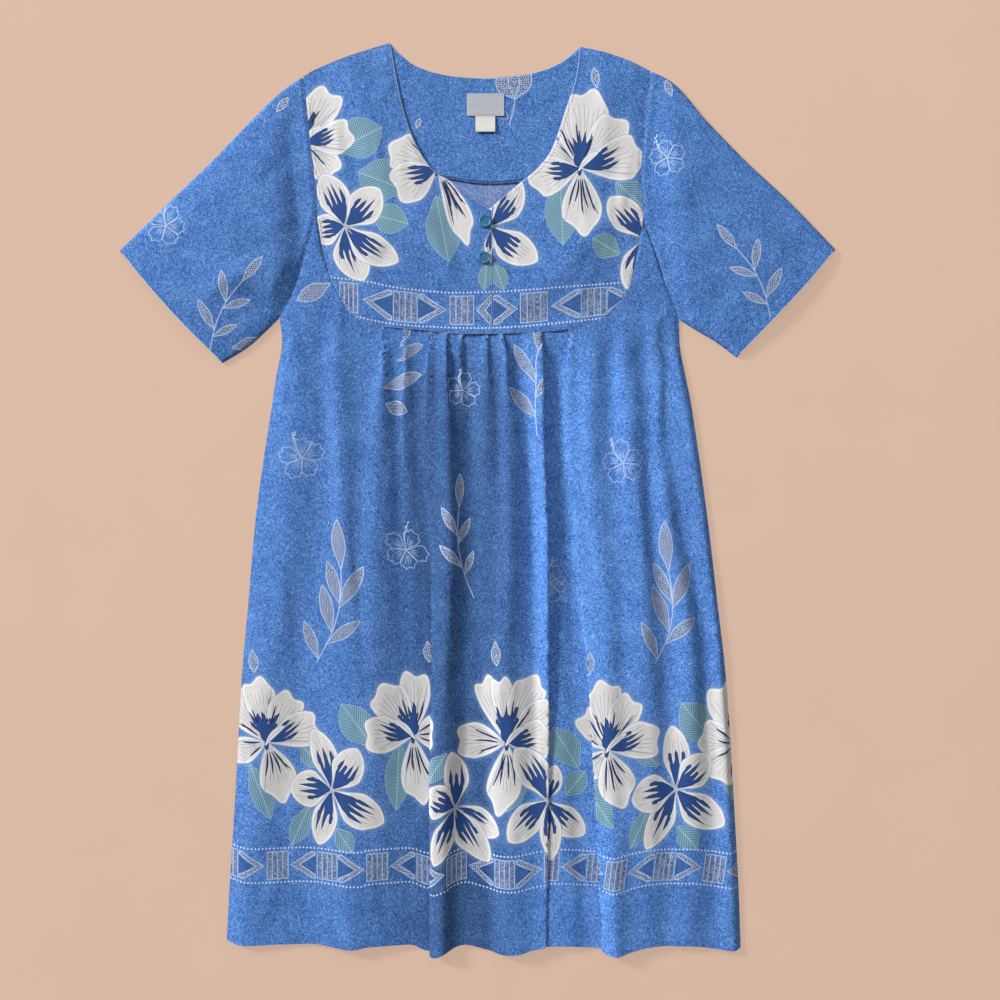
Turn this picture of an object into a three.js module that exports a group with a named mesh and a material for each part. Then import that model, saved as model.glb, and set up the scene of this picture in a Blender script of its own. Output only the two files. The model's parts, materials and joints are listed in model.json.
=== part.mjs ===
// A loose cotton muumuu dress, lying flat on its back with the sleeves spread.
// Millimetres. +Z is up from the surface, +Y runs to the neck, +X to the right.
// The back lies on the surface, the front lies on the back with soft air in its
// folds, and each sleeve is one flattened tube. Neighbours keep a seam gap.
import * as THREE from 'three';

// ---------------------------------------------------------------- sizes
const CLOTH = 1.2;            // wall of a cloth layer, with its turnings
const TRIM_WALL = 1.0;        // wall of the facing and the labels
const GAP = 0.3;              // clearance between neighbouring pieces
const SEAM_GAP = 0.4;         // clearance across a sewn seam, in plan
const FRONT_X = 17.5;         // right edge of the front overlap
const UNDERLAP = 22;          // the right yoke runs this far under the left
const BACK_SEAM_X = 15.5;     // centre back seam
const HEM_Y = -539;           // hem of the back
const BUTTON_R = 7.6;
const BUTTON_H = 3.0;
const BUTTONS = [{ name: 'button_upper', x: 9.5, y: 340 }, { name: 'button_lower', x: 8.5, y: 295.5 }];
const LABEL = { left: -13, right: 32.5, top: 496.5, bottom: 469 };
const TAB = { left: -2.5, right: 21.5, top: 468.6, bottom: 449 };
const SLEEVE_LOFT = 9;        // height of the air in a flattened sleeve
const YOKE_LOFT = 4;          // the same under the chest

// heights of the stacked layers, lowest surface of each
const BACK_Z = 0;
const FACING_Z = BACK_Z + CLOTH + GAP;
const FRONT_EDGE_Z = BACK_Z + CLOTH + GAP;
const NECK_Z = FACING_Z + TRIM_WALL + GAP;
const LAP_RISE = CLOTH + GAP + 0.2;

const COLOUR = { cloth: 0x4a74b4, wrong: 0x8795c4, button: 0x2f7480, label: 0xd5d3cd, tab: 0xeceae4 };

// shoulder line, neck end first
const SHOULDER = [
  { leftX: -107, leftY: 558.5, rightX: 125, rightY: 553.5 },
  { leftX: -139.5, leftY: 548.5, rightX: 149.5, rightY: 548.5 },
  { leftX: -174, leftY: 536.5, rightX: 183.5, rightY: 537.5 },
  { leftX: -202, leftY: 524.5, rightX: 199, rightY: 530.5 },
  { leftX: -213, leftY: 518, rightX: 211.5, rightY: 524.5 },
];
// armhole seam, shoulder first, underarm last
const ARMHOLE = [
  { leftX: -213, leftY: 518, rightX: 211.5, rightY: 524.5 },
  { leftX: -207, leftY: 461, rightX: 204.5, rightY: 463.5 },
  { leftX: -200, leftY: 396, rightX: 200, rightY: 392.5 },
  { leftX: -197, leftY: 369.5, rightX: 201.5, rightY: 363.5 },
  { leftX: -200.5, leftY: 339, rightX: 205, rightY: 335 },
  { leftX: -209, leftY: 307, rightX: 215.5, rightY: 304.5 },
  { leftX: -219, leftY: 274, rightX: 225.5, rightY: 274 },
  { leftX: -230, leftY: 245, rightX: 236, rightY: 245 },
  { leftX: -241.5, leftY: 223, rightX: 246.5, rightY: 220 },
];
// side seams, underarm to hem
const SIDE = [
  { y: 222, left: -241.5, right: 246.5 },
  { y: 195, left: -239, right: 247 },
  { y: 146, left: -247, right: 255.5 },
  { y: 121.5, left: -250.5, right: 260.5 },
  { y: 73, left: -258, right: 268 },
  { y: -24.5, left: -271.5, right: 281.5 },
  { y: -122.5, left: -280, right: 293 },
  { y: -220, left: -288.5, right: 304 },
  { y: -366.5, left: -296.5, right: 313.5 },
  { y: -488.5, left: -304, right: 320 },
  { y: -549, left: -307, right: 322 },
];
// lower edge of the yoke: down its left side, along the bottom, up its right side
const YOKE_EDGE = [
  { x: -197, y: 350 },
  { x: -189.5, y: 304.5 },
  { x: -182.5, y: 280.5 },
  { x: -166.5, y: 245 },
  { x: -153, y: 226.5 },
  { x: -124, y: 213 },
  { x: -70, y: 207 },
  { x: -9, y: 202 },
  { x: 46, y: 203 },
  { x: 94.5, y: 206 },
  { x: 131, y: 213 },
  { x: 155.5, y: 223 },
  { x: 172.5, y: 239 },
  { x: 183.5, y: 253.5 },
  { x: 189.5, y: 275.5 },
  { x: 197, y: 311 },
  { x: 203, y: 347 },
];
const BACK_NECK = [
  { x: -107, y: 558.5 },
  { x: -94.5, y: 545 },
  { x: -71.5, y: 529 },
  { x: -24, y: 517.5 },
  { x: 15.5, y: 515.5 },
  { x: 71.5, y: 523 },
  { x: 103, y: 535.5 },
  { x: 125, y: 553.5 },
];
// front neckline: a scoop from each shoulder, then a short straight V
const NECK_FRONT = [
  { leftX: -107, leftY: 558.5, rightX: 125, rightY: 553.5 },
  { leftX: -99.5, leftY: 516, rightX: 121, rightY: 520.5 },
  { leftX: -93.5, leftY: 486.5, rightX: 107, rightY: 475.5 },
  { leftX: -86, leftY: 459.5, rightX: 97.5, rightY: 446 },
  { leftX: -75, leftY: 433, rightX: 88.5, rightY: 424.5 },
  { leftX: -61.5, leftY: 411, rightX: 80, rightY: 412.5 },
  { leftX: -50.5, leftY: 399, rightX: 69, rightY: 401 },
  { leftX: -38.5, leftY: 392.5, rightX: 54.5, rightY: 389.5 },
  { leftX: -4.5, leftY: 368, rightX: 26, rightY: 365.5 },
  { leftX: 13.5, leftY: 355.5, rightX: 12, rightY: 354.5 },
];
// outer edge of the back neck facing, left shoulder to right shoulder
const FACING_OUTER = [
  { x: -161.5, y: 541 },
  { x: -159, y: 512 },
  { x: -139.5, y: 456 },
  { x: -88.5, y: 408.5 },
  { x: -38.5, y: 393 },
  { x: 15.5, y: 386.5 },
  { x: 49.5, y: 388.5 },
  { x: 100.5, y: 404.5 },
  { x: 139.5, y: 429 },
  { x: 175, y: 487.5 },
  { x: 181, y: 537.5 },
];
// fold edge along the top of each sleeve, shoulder to cuff
const SLEEVE_TOP = [
  { leftX: -213, leftY: 518, rightX: 211.5, rightY: 524.5 },
  { leftX: -238.5, leftY: 500, rightX: 236, rightY: 512 },
  { leftX: -276.5, leftY: 463.5, rightX: 280, rightY: 463.5 },
  { leftX: -324, leftY: 414.5, rightX: 327.5, rightY: 414.5 },
  { leftX: -375, leftY: 365.5, rightX: 380, rightY: 365.5 },
  { leftX: -437.5, leftY: 304.5, rightX: 437.5, rightY: 306 },
];
// underarm seam of each sleeve, underarm to cuff
const SLEEVE_UNDER = [
  { leftX: -241.5, leftY: 223, rightX: 246.5, rightY: 220 },
  { leftX: -258, leftY: 206.5, rightX: 268, rightY: 206.5 },
  { leftX: -279, leftY: 187.5, rightX: 290, rightY: 193.5 },
  { leftX: -311.5, leftY: 167, rightX: 316.5, rightY: 174 },
];
const CUFF = [
  { leftX: -437.5, leftY: 304.5, rightX: 437.5, rightY: 306 },
  { leftX: -409.5, leftY: 270.5, rightX: 405.5, rightY: 268 },
  { leftX: -364, leftY: 219.5, rightX: 360.5, rightY: 219.5 },
  { leftX: -311.5, leftY: 167, rightX: 316.5, rightY: 174 },
];
// stations down the front skirt where each fold line is stated
const STATIONS = { corner: 347.5, chest: 262, seam: 204.5, release: 176.5, waist: 85, hip: -49, thigh: -189.5, border: -366.5, hem: -531 };
// One row for each ridge or hollow line of the front skirt, left to right:
// its place across (x) and height over the surface (z) at each station, and its hem.
const FOLDS = [
  { name: "side_left", x: null, z: [2.8, 2.4, 1.5, 1.5, 1.5, 1.5, 1.5, 1.5, 1.5], hem: -538.5 },
  { name: "side_roll_l", x: [-180, -208, -220, -222.5, -227.5, -237.5, -253, -268, -282.5], z: [3, 3.6, 4.5, 5.5, 6, 6.5, 6.5, 6.5, 7], hem: -544 },
  { name: "hollow_1", x: [-160.5, -181, -188.5, -189.5, -188.5, -194.5, -211.5, -213, -207], z: [3, 3, 2.4, 2.2, 2.2, 2.2, 2.4, 2.2, 2.2], hem: -542.5 },
  { name: "roll_2", x: [-146, -165.5, -171.5, -171.5, -168, -161.5, -150.5, -153, -158], z: [3, 3.6, 4.6, 7.5, 8, 9, 8.5, 9, 11], hem: -548 },
  { name: "hollow_2", x: [-131, -143.5, -150.5, -146, -139.5, -147, -141, -142, -147], z: [3, 3, 2.8, 2.6, 5, 5.5, 8, 9, 11], hem: -548 },
  { name: "pleat_1", x: [-113, -116.5, -117.5, -115.5, -119, -121.5, -127.5, -130, -136], z: [3, 3, 4.2, 8.5, 9, 9.5, 9, 9, 10.5], hem: -545 },
  { name: "hollow_3", x: [-103, -105.5, -107, -102, -98, -93.5, -89.5, -89.5, -85], z: [3, 3, 2.6, 2.4, 3, 3.6, 3.8, 3.8, 4], hem: -543 },
  { name: "pleat_2", x: [-88.5, -89.5, -91, -89.5, -89.5, -81, -77.5, -77.5, -76], z: [3, 3, 4.2, 7, 5, 3.2, 3, 2.8, 3], hem: -544.5 },
  { name: "hollow_4", x: [-71.5, -72.5, -72.5, -74, -74, -67.5, -63, -61, -64], z: [3, 3, 2.6, 2.2, 2, 2, 2, 2, 2.2], hem: -550.5 },
  { name: "pleat_3", x: [-58, -59, -59, -60.5, -61.5, -56.5, -56.5, -58.5, -58], z: [3, 3, 4, 6.5, 5, 4, 4.5, 8, 6], hem: -557 },
  { name: "lip_3", x: [-48, -49.5, -50.5, -52, -53, -48, -50.5, -55, -53], z: [3, 3, 2.7, 3, 5.5, 7.5, 8.5, 12.5, 10], hem: -558 },
  { name: "pleat_4", x: [-36, -37, -37, -37, -37, -33.5, -38.5, -42, -43.5], z: [3, 3, 4.4, 9, 11.5, 13, 12.5, 14, 14.5], hem: -554 },
  { name: "hollow_5", x: [-26, -27.5, -27.5, -27.5, -26, -20, -21.5, -24, -26], z: [3, 3, 2.7, 4, 6, 6, 5.4, 6.5, 6.5], hem: -545 },
  { name: "pleat_5", x: [-16.5, -17.5, -17.5, -20, -19, -13, -13, -14, -15], z: [3, 3, 4.2, 6, 4, 3, 2.6, 3.2, 4], hem: -543 },
  { name: "hollow_6", x: [-4.5, -5.5, -5.5, -6.5, -8, -4.5, 0.5, 8, 13], z: [3, 3, 2.5, 2.1, 2, 2, 2, 2, 2.2], hem: -550 },
  { name: "pleat_6", x: [13, 13, 13, 11.5, 14, 16.5, 20, 24, 27.5], z: [3, 3, 4.2, 7.5, 8, 6, 8, 8, 9], hem: -553.5 },
  { name: "hollow_7", x: [21.5, 21.5, 21.5, 22.5, 24, 26, 27.5, 33.5, 37], z: [3, 3, 2.9, 4, 7.2, 9.5, 11.5, 10.5, 12], hem: -554 },
  { name: "pleat_7", x: [31, 31, 31, 36, 37, 38.5, 37, 43.5, 48], z: [3, 3, 4.4, 9, 11, 13, 12, 11.5, 13], hem: -553.5 },
  { name: "hollow_8", x: [47, 47, 47, 49.5, 60.5, 66.5, 67.5, 71.5, 69], z: [3, 3, 2.6, 2.2, 3, 3, 4, 8, 10], hem: -548 },
  { name: "pleat_8", x: [63, 63, 63, 65.5, 70, 76, 77.5, 77.5, 76], z: [3, 3, 4.2, 7, 8, 8.5, 8, 8.5, 10], hem: -547 },
  { name: "pleat_9", x: [77.5, 77.5, 77.5, 80, 81, 86, 87, 86, 83.5], z: [3, 3, 4.6, 11, 13.5, 15, 13, 9.5, 10], hem: -545.5 },
  { name: "foot_9", x: [87, 87, 87, 88, 89, 92, 96, 99.5, 102], z: [3, 3, 2.8, 3.4, 3.6, 4.2, 5, 7, 8], hem: -544.5 },
  { name: "hollow_9", x: [98, 98, 98, 98, 100.5, 111.5, 122.5, 135, 146], z: [3, 3, 2.5, 2, 2, 2, 2, 2, 2.2], hem: -547.5 },
  { name: "pleat_10", x: [110.5, 110.5, 110.5, 110.5, 114, 124, 133.5, 143.5, 152], z: [3, 3, 3.8, 5.5, 5, 5, 5, 5.2, 5], hem: -551 },
  { name: "hollow_10", x: [117.5, 117.5, 119, 119, 121.5, 130, 139.5, 149.5, 157], z: [3, 3, 2.8, 4.4, 5.2, 6, 6.4, 7, 7.5], hem: -554 },
  { name: "roll_11", x: [137, 138.5, 139.5, 141, 137, 146, 159, 164, 169], z: [3, 3, 4.2, 8, 9.5, 10.5, 11, 12, 14], hem: -556 },
  { name: "hollow_11", x: [149.5, 161.5, 164, 163, 163, 170, 180, 185, 188.5], z: [3, 3, 2.6, 2.3, 3.4, 7, 8, 9, 9.5], hem: -550.5 },
  { name: "roll_12", x: [161.5, 176.5, 180, 181, 185, 198, 205.5, 210.5, 210.5], z: [3, 3.2, 4.2, 8, 9, 9.5, 10, 8, 8], hem: -545.5 },
  { name: "hollow_12", x: [174, 196, 202, 203, 209, 215.5, 235, 236, 233.5], z: [3, 3, 2.3, 2.1, 2.4, 3, 2.6, 4, 5], hem: -544.5 },
  { name: "roll_13", x: [183.5, 208, 216.5, 220, 221.5, 236, 259, 261.5, 258], z: [3, 3.4, 4.4, 5.5, 5.5, 9, 9, 7.5, 7], hem: -544.5 },
  { name: "hollow_13", x: [193.5, 218, 227.5, 231, 235, 255.5, 279, 287.5, 288.5], z: [3, 3, 2.4, 2.2, 2.2, 2.2, 2.2, 2.6, 3], hem: -548 },
  { name: "side_roll_r", x: [199.5, 224, 236, 242, 258, 276.5, 294.5, 304.5, 311.5], z: [3, 3.4, 3.8, 4.8, 6, 6.5, 6.5, 6.5, 7], hem: -550.5 },
  { name: "side_right", x: null, z: [2.8, 2.4, 1.5, 1.5, 1.5, 1.5, 1.5, 1.5, 1.5], hem: -547 },
];
// long soft folds of the yoke: from, to, half width and height (less than 0 is a trough)
const YOKE_FOLDS = [
  { name: 'bust_left', x0: -66, y0: 345, x1: -12, y1: 250, half: 16, rise: 3.0 },
  { name: 'bust_hollow', x0: -108, y0: 300, x1: -24, y1: 236, half: 14, rise: -2.6 },
  { name: 'shoulder_left', x0: -150, y0: 520, x1: -128, y1: 400, half: 15, rise: 2.2 },
  { name: 'shoulder_right', x0: 160, y0: 515, x1: 150, y1: 420, half: 16, rise: 2.0 },
  { name: 'bust_right', x0: 150, y0: 330, x1: 80, y1: 262, half: 18, rise: 2.4 },
];
// folds of the sleeves: s runs from armhole to cuff, t from top fold to underarm
const SLEEVE_FOLDS = [
  { name: 'head_left', side: -1, s0: 0.06, t0: 0.2, s1: 0.1, t1: 0.55, half: 16, rise: -3.2 },
  { name: 'under_left', side: -1, s0: 0.12, t0: 0.95, s1: 0.5, t1: 0.72, half: 15, rise: -3.0 },
  { name: 'mid_left', side: -1, s0: 0.2, t0: 0.72, s1: 0.75, t1: 0.55, half: 22, rise: 2.6 },
  { name: 'head_right', side: 1, s0: 0.1, t0: 0.1, s1: 0.2, t1: 0.4, half: 16, rise: 3.2 },
  { name: 'under_right', side: 1, s0: 0.1, t0: 0.95, s1: 0.55, t1: 0.8, half: 16, rise: -3.4 },
  { name: 'top_right', side: 1, s0: 0.25, t0: 0.12, s1: 0.9, t1: 0.14, half: 13, rise: -2.6 },
];

// ---------------------------------------------------------------- curves
// Fritsch-Carlson cubic: smooth, passes through each row, never overshoots.
function cubic(xs, ys) {
  const n = xs.length;
  const h = [], d = [], m = new Array(n).fill(0);
  for (let i = 0; i < n - 1; i++) { h.push(xs[i + 1] - xs[i]); d.push((ys[i + 1] - ys[i]) / h[i]); }
  for (let i = 1; i < n - 1; i++) {
    if (d[i - 1] * d[i] > 0) {
      const a = 2 * h[i] + h[i - 1], b = h[i] + 2 * h[i - 1];
      m[i] = (a + b) / (a / d[i - 1] + b / d[i]);
    }
  }
  m[0] = d[0]; m[n - 1] = d[n - 2];
  return (x) => {
    let i = 0;
    while (i < n - 2 && x > xs[i + 1]) i++;
    const t = Math.min(Math.max((x - xs[i]) / h[i], 0), 1);
    const a = 1 + 2 * t, b = 1 - t;
    return ys[i] * a * b * b + h[i] * m[i] * t * b * b + ys[i + 1] * t * t * (3 - 2 * t) + h[i] * m[i + 1] * t * t * (t - 1);
  };
}
// plan curve through rows of points, t = 0..1 by length
function path(points) {
  const s = [0];
  for (let i = 1; i < points.length; i++) s.push(s[i - 1] + Math.hypot(points[i][0] - points[i - 1][0], points[i][1] - points[i - 1][1]));
  const L = s[s.length - 1];
  const fx = cubic(s, points.map((p) => p[0])), fy = cubic(s, points.map((p) => p[1]));
  return (t) => [fx(t * L), fy(t * L)];
}
// one path made of several, each over its own share of t
function chain(...parts) {
  return (t) => {
    let a = 0;
    for (let i = 0; i < parts.length; i++) {
      const b = i === parts.length - 1 ? 1 : parts[i].upTo;
      if (t <= b || i === parts.length - 1) return parts[i].path(Math.min(1, (t - a) / (b - a)));
      a = b;
    }
    return null;
  };
}
const reversed = (f) => (t) => f(1 - t);
const side = (rows, s) => rows.map((r) => (s < 0 ? [r.leftX, r.leftY] : [r.rightX, r.rightY]));
const smooth = (t) => { const c = Math.min(Math.max(t, 0), 1); return c * c * (3 - 2 * c); };
const mix = (a, b, t) => a + (b - a) * t;

// plan patch between four border curves, u across and v down
function coons(top, bottom, left, right) {
  const c00 = top(0), c10 = top(1), c01 = bottom(0), c11 = bottom(1);
  return (u, v) => [0, 1].map((k) =>
    (1 - v) * top(u)[k] + v * bottom(u)[k] + (1 - u) * left(v)[k] + u * right(v)[k]
    - ((1 - u) * (1 - v) * c00[k] + u * (1 - v) * c10[k] + (1 - u) * v * c01[k] + u * v * c11[k]));
}
// distance from a plan point to the line of a fold
function across(f, x, y) {
  const dx = f.x1 - f.x0, dy = f.y1 - f.y0;
  const t = Math.min(Math.max(((x - f.x0) * dx + (y - f.y0) * dy) / (dx * dx + dy * dy), 0), 1);
  return Math.hypot(x - f.x0 - t * dx, y - f.y0 - t * dy);
}

// ---------------------------------------------------------------- solids
// Closed wall over a grid of points on its lower surface. Inside, the wall is
// laid off along the normal; on the border straight up, so the plan edge holds.
function wall(rows, thickness) {
  const nv = rows.length, nu = rows[0].length;
  const flip = (() => {
    const a = rows[0][0], b = rows[0][nu - 1], c = rows[nv - 1][0];
    return (b[0] - a[0]) * (c[1] - a[1]) - (b[1] - a[1]) * (c[0] - a[0]) > 0;
  })();
  const lower = [], upper = [];
  for (let j = 0; j < nv; j++) for (let i = 0; i < nu; i++) {
    const p = new THREE.Vector3(...rows[j][i]);
    const px = new THREE.Vector3(...rows[j][Math.min(i + 1, nu - 1)]).sub(new THREE.Vector3(...rows[j][Math.max(i - 1, 0)]));
    const py = new THREE.Vector3(...rows[Math.min(j + 1, nv - 1)][i]).sub(new THREE.Vector3(...rows[Math.max(j - 1, 0)][i]));
    const n = px.cross(py).normalize();
    if (n.z < 0) n.negate();
    const border = i === 0 || j === 0 || i === nu - 1 || j === nv - 1;
    lower.push(p);
    upper.push(border ? p.clone().add(new THREE.Vector3(0, 0, thickness * Math.min(1 / n.z, 1.3))) : p.clone().addScaledVector(n, thickness));
  }
  const pos = [...lower, ...upper].flatMap((p) => [p.x, p.y, p.z]);
  const N = nu * nv, idx = [];
  const tri = (a, b, c) => (flip ? idx.push(a, c, b) : idx.push(a, b, c));
  for (let j = 0; j < nv - 1; j++) for (let i = 0; i < nu - 1; i++) {
    const a = j * nu + i, b = a + 1, d = a + nu, c = d + 1;
    tri(N + a, N + d, N + c); tri(N + a, N + c, N + b);
    tri(a, c, d); tri(a, b, c);
  }
  const rim = (a, b) => { tri(a, N + b, b); tri(a, N + a, N + b); };
  for (let i = 0; i < nu - 1; i++) { rim(i, i + 1); rim((nv - 1) * nu + i + 1, (nv - 1) * nu + i); }
  for (let j = 0; j < nv - 1; j++) { rim((j + 1) * nu, j * nu); rim(j * nu + nu - 1, (j + 1) * nu + nu - 1); }
  return solid(pos, idx);
}
function solid(pos, idx) {
  const g = new THREE.BufferGeometry();
  g.setAttribute('position', new THREE.Float32BufferAttribute(pos, 3));
  g.setIndex(idx);
  g.computeVertexNormals();
  return g;
}
const grid = (us, vs, f) => vs.map((v) => us.map((u) => f(u, v)));
const steps = (n) => Array.from({ length: n + 1 }, (_, i) => i / n);

const group = new THREE.Group();
function piece(name, geometry, color, roughness = 0.85) {
  const mesh = new THREE.Mesh(geometry, new THREE.MeshStandardMaterial({ color, roughness, metalness: 0 }));
  mesh.name = name;
  group.add(mesh);
  return mesh;
}

// ---------------------------------------------------------------- body outline
const sideX = {};
for (const s of [-1, 1]) {
  const hole = side(ARMHOLE, s).slice(3);
  const rows = [...hole.map((p) => [p[1], p[0]]).slice(0, -1), ...SIDE.map((r) => [r.y, s < 0 ? r.left : r.right])].reverse();
  sideX[s] = cubic(rows.map((r) => r[0]), rows.map((r) => r[1]));
}
const yokeEdgeY = cubic(YOKE_EDGE.map((r) => r.x), YOKE_EDGE.map((r) => r.y));

// ---------------------------------------------------------------- back and facing
const neckBack = path(BACK_NECK.map((r) => [r.x, r.y]));
const backNeckAt = cubic(BACK_NECK.map((r) => r.x), BACK_NECK.map((r) => r.y));
function backHalf(s) {
  const shoulder = path(side(SHOULDER, s));
  const edgeX = BACK_SEAM_X + s * GAP / 2;
  const neckRows = BACK_NECK.filter((r) => (r.x - edgeX) * s > 1).map((r) => [r.x, r.y]);
  const neck = path(s < 0 ? [...neckRows, [edgeX, backNeckAt(edgeX)]] : [...neckRows.reverse(), [edgeX, backNeckAt(edgeX)]]);
  const underarm = side(ARMHOLE, s)[ARMHOLE.length - 1];
  const down = (t) => { const y = mix(underarm[1], HEM_Y, t); return [sideX[s](y), y]; };
  const neckEnd = neck(1);
  const centre = (t) => [edgeX, mix(neckEnd[1], HEM_Y, t)];
  const outer = chain({ path: path(side(ARMHOLE, s)), upTo: 0.36 }, { path: down });
  const inner = chain({ path: neck, upTo: 0.2 }, { path: centre });
  const bottom = (t) => [mix(outer(1)[0], edgeX, t), HEM_Y];
  const plan = coons(reversed(shoulder), bottom, outer, inner);
  const vs = [...steps(15).map((t) => t * 0.36), ...steps(8).slice(1).map((t) => 0.36 + 0.64 * t)];
  return wall(grid(steps(4), vs, (u, v) => [...plan(u, v), BACK_Z]), CLOTH);
}
piece('back_left', backHalf(-1), COLOUR.cloth);
piece('back_right', backHalf(1), COLOUR.cloth);

{
  const outer = path(FACING_OUTER.map((r) => [r.x, r.y]));
  const left = (t) => [mix(neckBack(0)[0], outer(0)[0], t), mix(neckBack(0)[1], outer(0)[1], t)];
  const right = (t) => [mix(neckBack(1)[0], outer(1)[0], t), mix(neckBack(1)[1], outer(1)[1], t)];
  const plan = coons(neckBack, outer, left, right);
  piece('back_neck_facing', wall(grid(steps(18), steps(2), (u, v) => [...plan(u, v), FACING_Z]), TRIM_WALL), COLOUR.cloth);
}

// ---------------------------------------------------------------- yoke
function yokeZ(x, y) {
  const overFacing = 1 - smooth((Math.abs(x - 9) - 176) / 24);
  const edge = mix(FRONT_EDGE_Z, NECK_Z, Math.max(overFacing, 0));
  const inside = smooth((y - yokeEdgeY(x) - 6) / 60);
  const cx = Math.abs(x - 9) - 108;
  let z = YOKE_LOFT * Math.exp(-((cx / 46) ** 2)) * Math.exp(-(((y - 345) / 120) ** 2)) * inside;
  for (const f of YOKE_FOLDS) z += f.rise * Math.exp(-((across(f, x, y) / f.half) ** 2)) * inside;
  const clearOfLap = smooth((Math.abs(x - FRONT_X + UNDERLAP / 2) - 16) / 30);
  return edge + Math.max(z, 0) * clearOfLap;
}
const lapRise = (x) => LAP_RISE * smooth((x + 34) / 26);
const armPoints = (s) => side(ARMHOLE, s);
function yokeHalf(s) {
  const corner = s < 0 ? YOKE_EDGE[0] : YOKE_EDGE[YOKE_EDGE.length - 1];
  const arm = path([...armPoints(s).filter((p) => p[1] > corner.y + 8), [corner.x, corner.y]]);
  const low = s < 0 ? [-197, -153] : [203, 155.5];
  const edgeRows = YOKE_EDGE.filter((r) => (s < 0 ? r.x <= low[1] : r.x >= low[1])).map((r) => [r.x, r.y]);
  const edge = path(s < 0 ? edgeRows : edgeRows.reverse());
  const frontEnd = s < 0 ? FRONT_X : FRONT_X - UNDERLAP;
  const neckRows = side(NECK_FRONT, s);
  const last = neckRows[neckRows.length - 1];
  const neck = path(s < 0 ? [...neckRows, [FRONT_X, last[1] - 2]] : [...neckRows, [frontEnd, last[1] - 6]]);
  const foot = [frontEnd, yokeEdgeY(frontEnd) + SEAM_GAP];
  const front = (t) => [frontEnd, mix(neck(1)[1], foot[1], t)];
  const bottomStart = edge(1);
  const bottom = (t) => { const x = mix(bottomStart[0], frontEnd, t); return [x, yokeEdgeY(x) + SEAM_GAP * Math.min(1, t * 8)]; };
  const outer = chain({ path: arm, upTo: 0.55 }, { path: edge });
  const inner = chain({ path: neck, upTo: 0.66 }, { path: front });
  const plan = coons(reversed(path(side(SHOULDER, s))), bottom, outer, inner);
  const inset = (u, v) => {
    const p = plan(u, v);
    const k = u === 0 && v > 0.02 ? 1 : 0;
    return [p[0] - s * SEAM_GAP * k, p[1]];
  };
  return wall(grid(steps(11), steps(15), (u, v) => {
    const [x, y] = inset(u, v);
    return [x, y, yokeZ(x, y) + (s < 0 ? lapRise(x) : 0)];
  }), CLOTH);
}
piece('yoke_left', yokeHalf(-1), COLOUR.cloth);
piece('yoke_right', yokeHalf(1), COLOUR.cloth);

// ---------------------------------------------------------------- front skirt
const stationY = Object.values(STATIONS).slice().reverse();
const foldX = FOLDS.map((f, i) => {
  if (i === 0) return sideX[-1];
  if (i === FOLDS.length - 1) return sideX[1];
  return cubic(stationY, f.x.slice().reverse());
});
const foldZ = FOLDS.map((f) => cubic(stationY, f.z.slice().reverse()));
const HEM_FLAT_Y = -541;
const HEM_RISE_FROM = -300;
// point of the front skirt on fold parameter k (0 is the first fold row) at level y
function skirtPoint(k, y) {
  const ks = FOLDS.map((_, i) => i);
  const x = cubic(ks, foldX.map((f) => f(y)))(k);
  const z = cubic(ks, foldZ.map((f) => f(y)))(k);
  const drop = cubic(ks, FOLDS.map((f) => f.hem - HEM_FLAT_Y))(k);
  return [x, y + drop * smooth((HEM_RISE_FROM - y) / (HEM_RISE_FROM - HEM_FLAT_Y)), z];
}
function skirtTop(k) {
  let lo = 190, hi = YOKE_EDGE[0].y - 2;
  for (let n = 0; n < 40; n++) {
    const y = (lo + hi) / 2;
    const x = skirtPoint(k, y)[0];
    const turn = smooth((Math.abs(x - 3) - 105) / 25);
    if (y < yokeEdgeY(x) - SEAM_GAP * (1 + 1.6 * turn)) lo = y; else hi = y;
  }
  return Math.min(lo, YOKE_EDGE[0].y - 4);
}
const WIDEST = 11.5;           // widest facet across the folds
const ks = [0];
for (let i = 0; i < FOLDS.length - 1; i++) {
  const span = Math.max(...[176.5, 85, -49, -189.5, -366.5, -531].map((y) => Math.abs(foldX[i + 1](y) - foldX[i](y))));
  const n = Math.min(3, Math.max(1, Math.round(span / WIDEST)));
  for (let j = 1; j <= n; j++) ks.push(i + j / n);
}
const UNDERARM_Y = 222;
const DOWN = [0, 0.25, 0.5, 0.75, 1];
{
  const levels = [190, 176.5, 150, 118, 85, 40, -4, -49, -119, -189.5, -278, -366.5, -449, -518, HEM_FLAT_Y];
  const tops = ks.map((k) => skirtTop(k));
  const rows = [];
  const landing = (top) => mix(196, UNDERARM_Y, smooth((top - 206) / 60));
  for (const d of DOWN) rows.push(ks.map((k, i) => skirtPoint(k, mix(tops[i], landing(tops[i]), d))));
  for (const y of levels) rows.push(ks.map((k) => skirtPoint(k, y)));
  // the borders beside the sleeves stand clear of them
  for (const r of rows) {
    const a = r[0], b = r[r.length - 1];
    if (a[1] > UNDERARM_Y - 1) { a[0] += 1.6 * SEAM_GAP; b[0] -= 2.2 * SEAM_GAP; }
  }
  piece('front_skirt', wall(rows, CLOTH), COLOUR.cloth);
}

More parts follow.
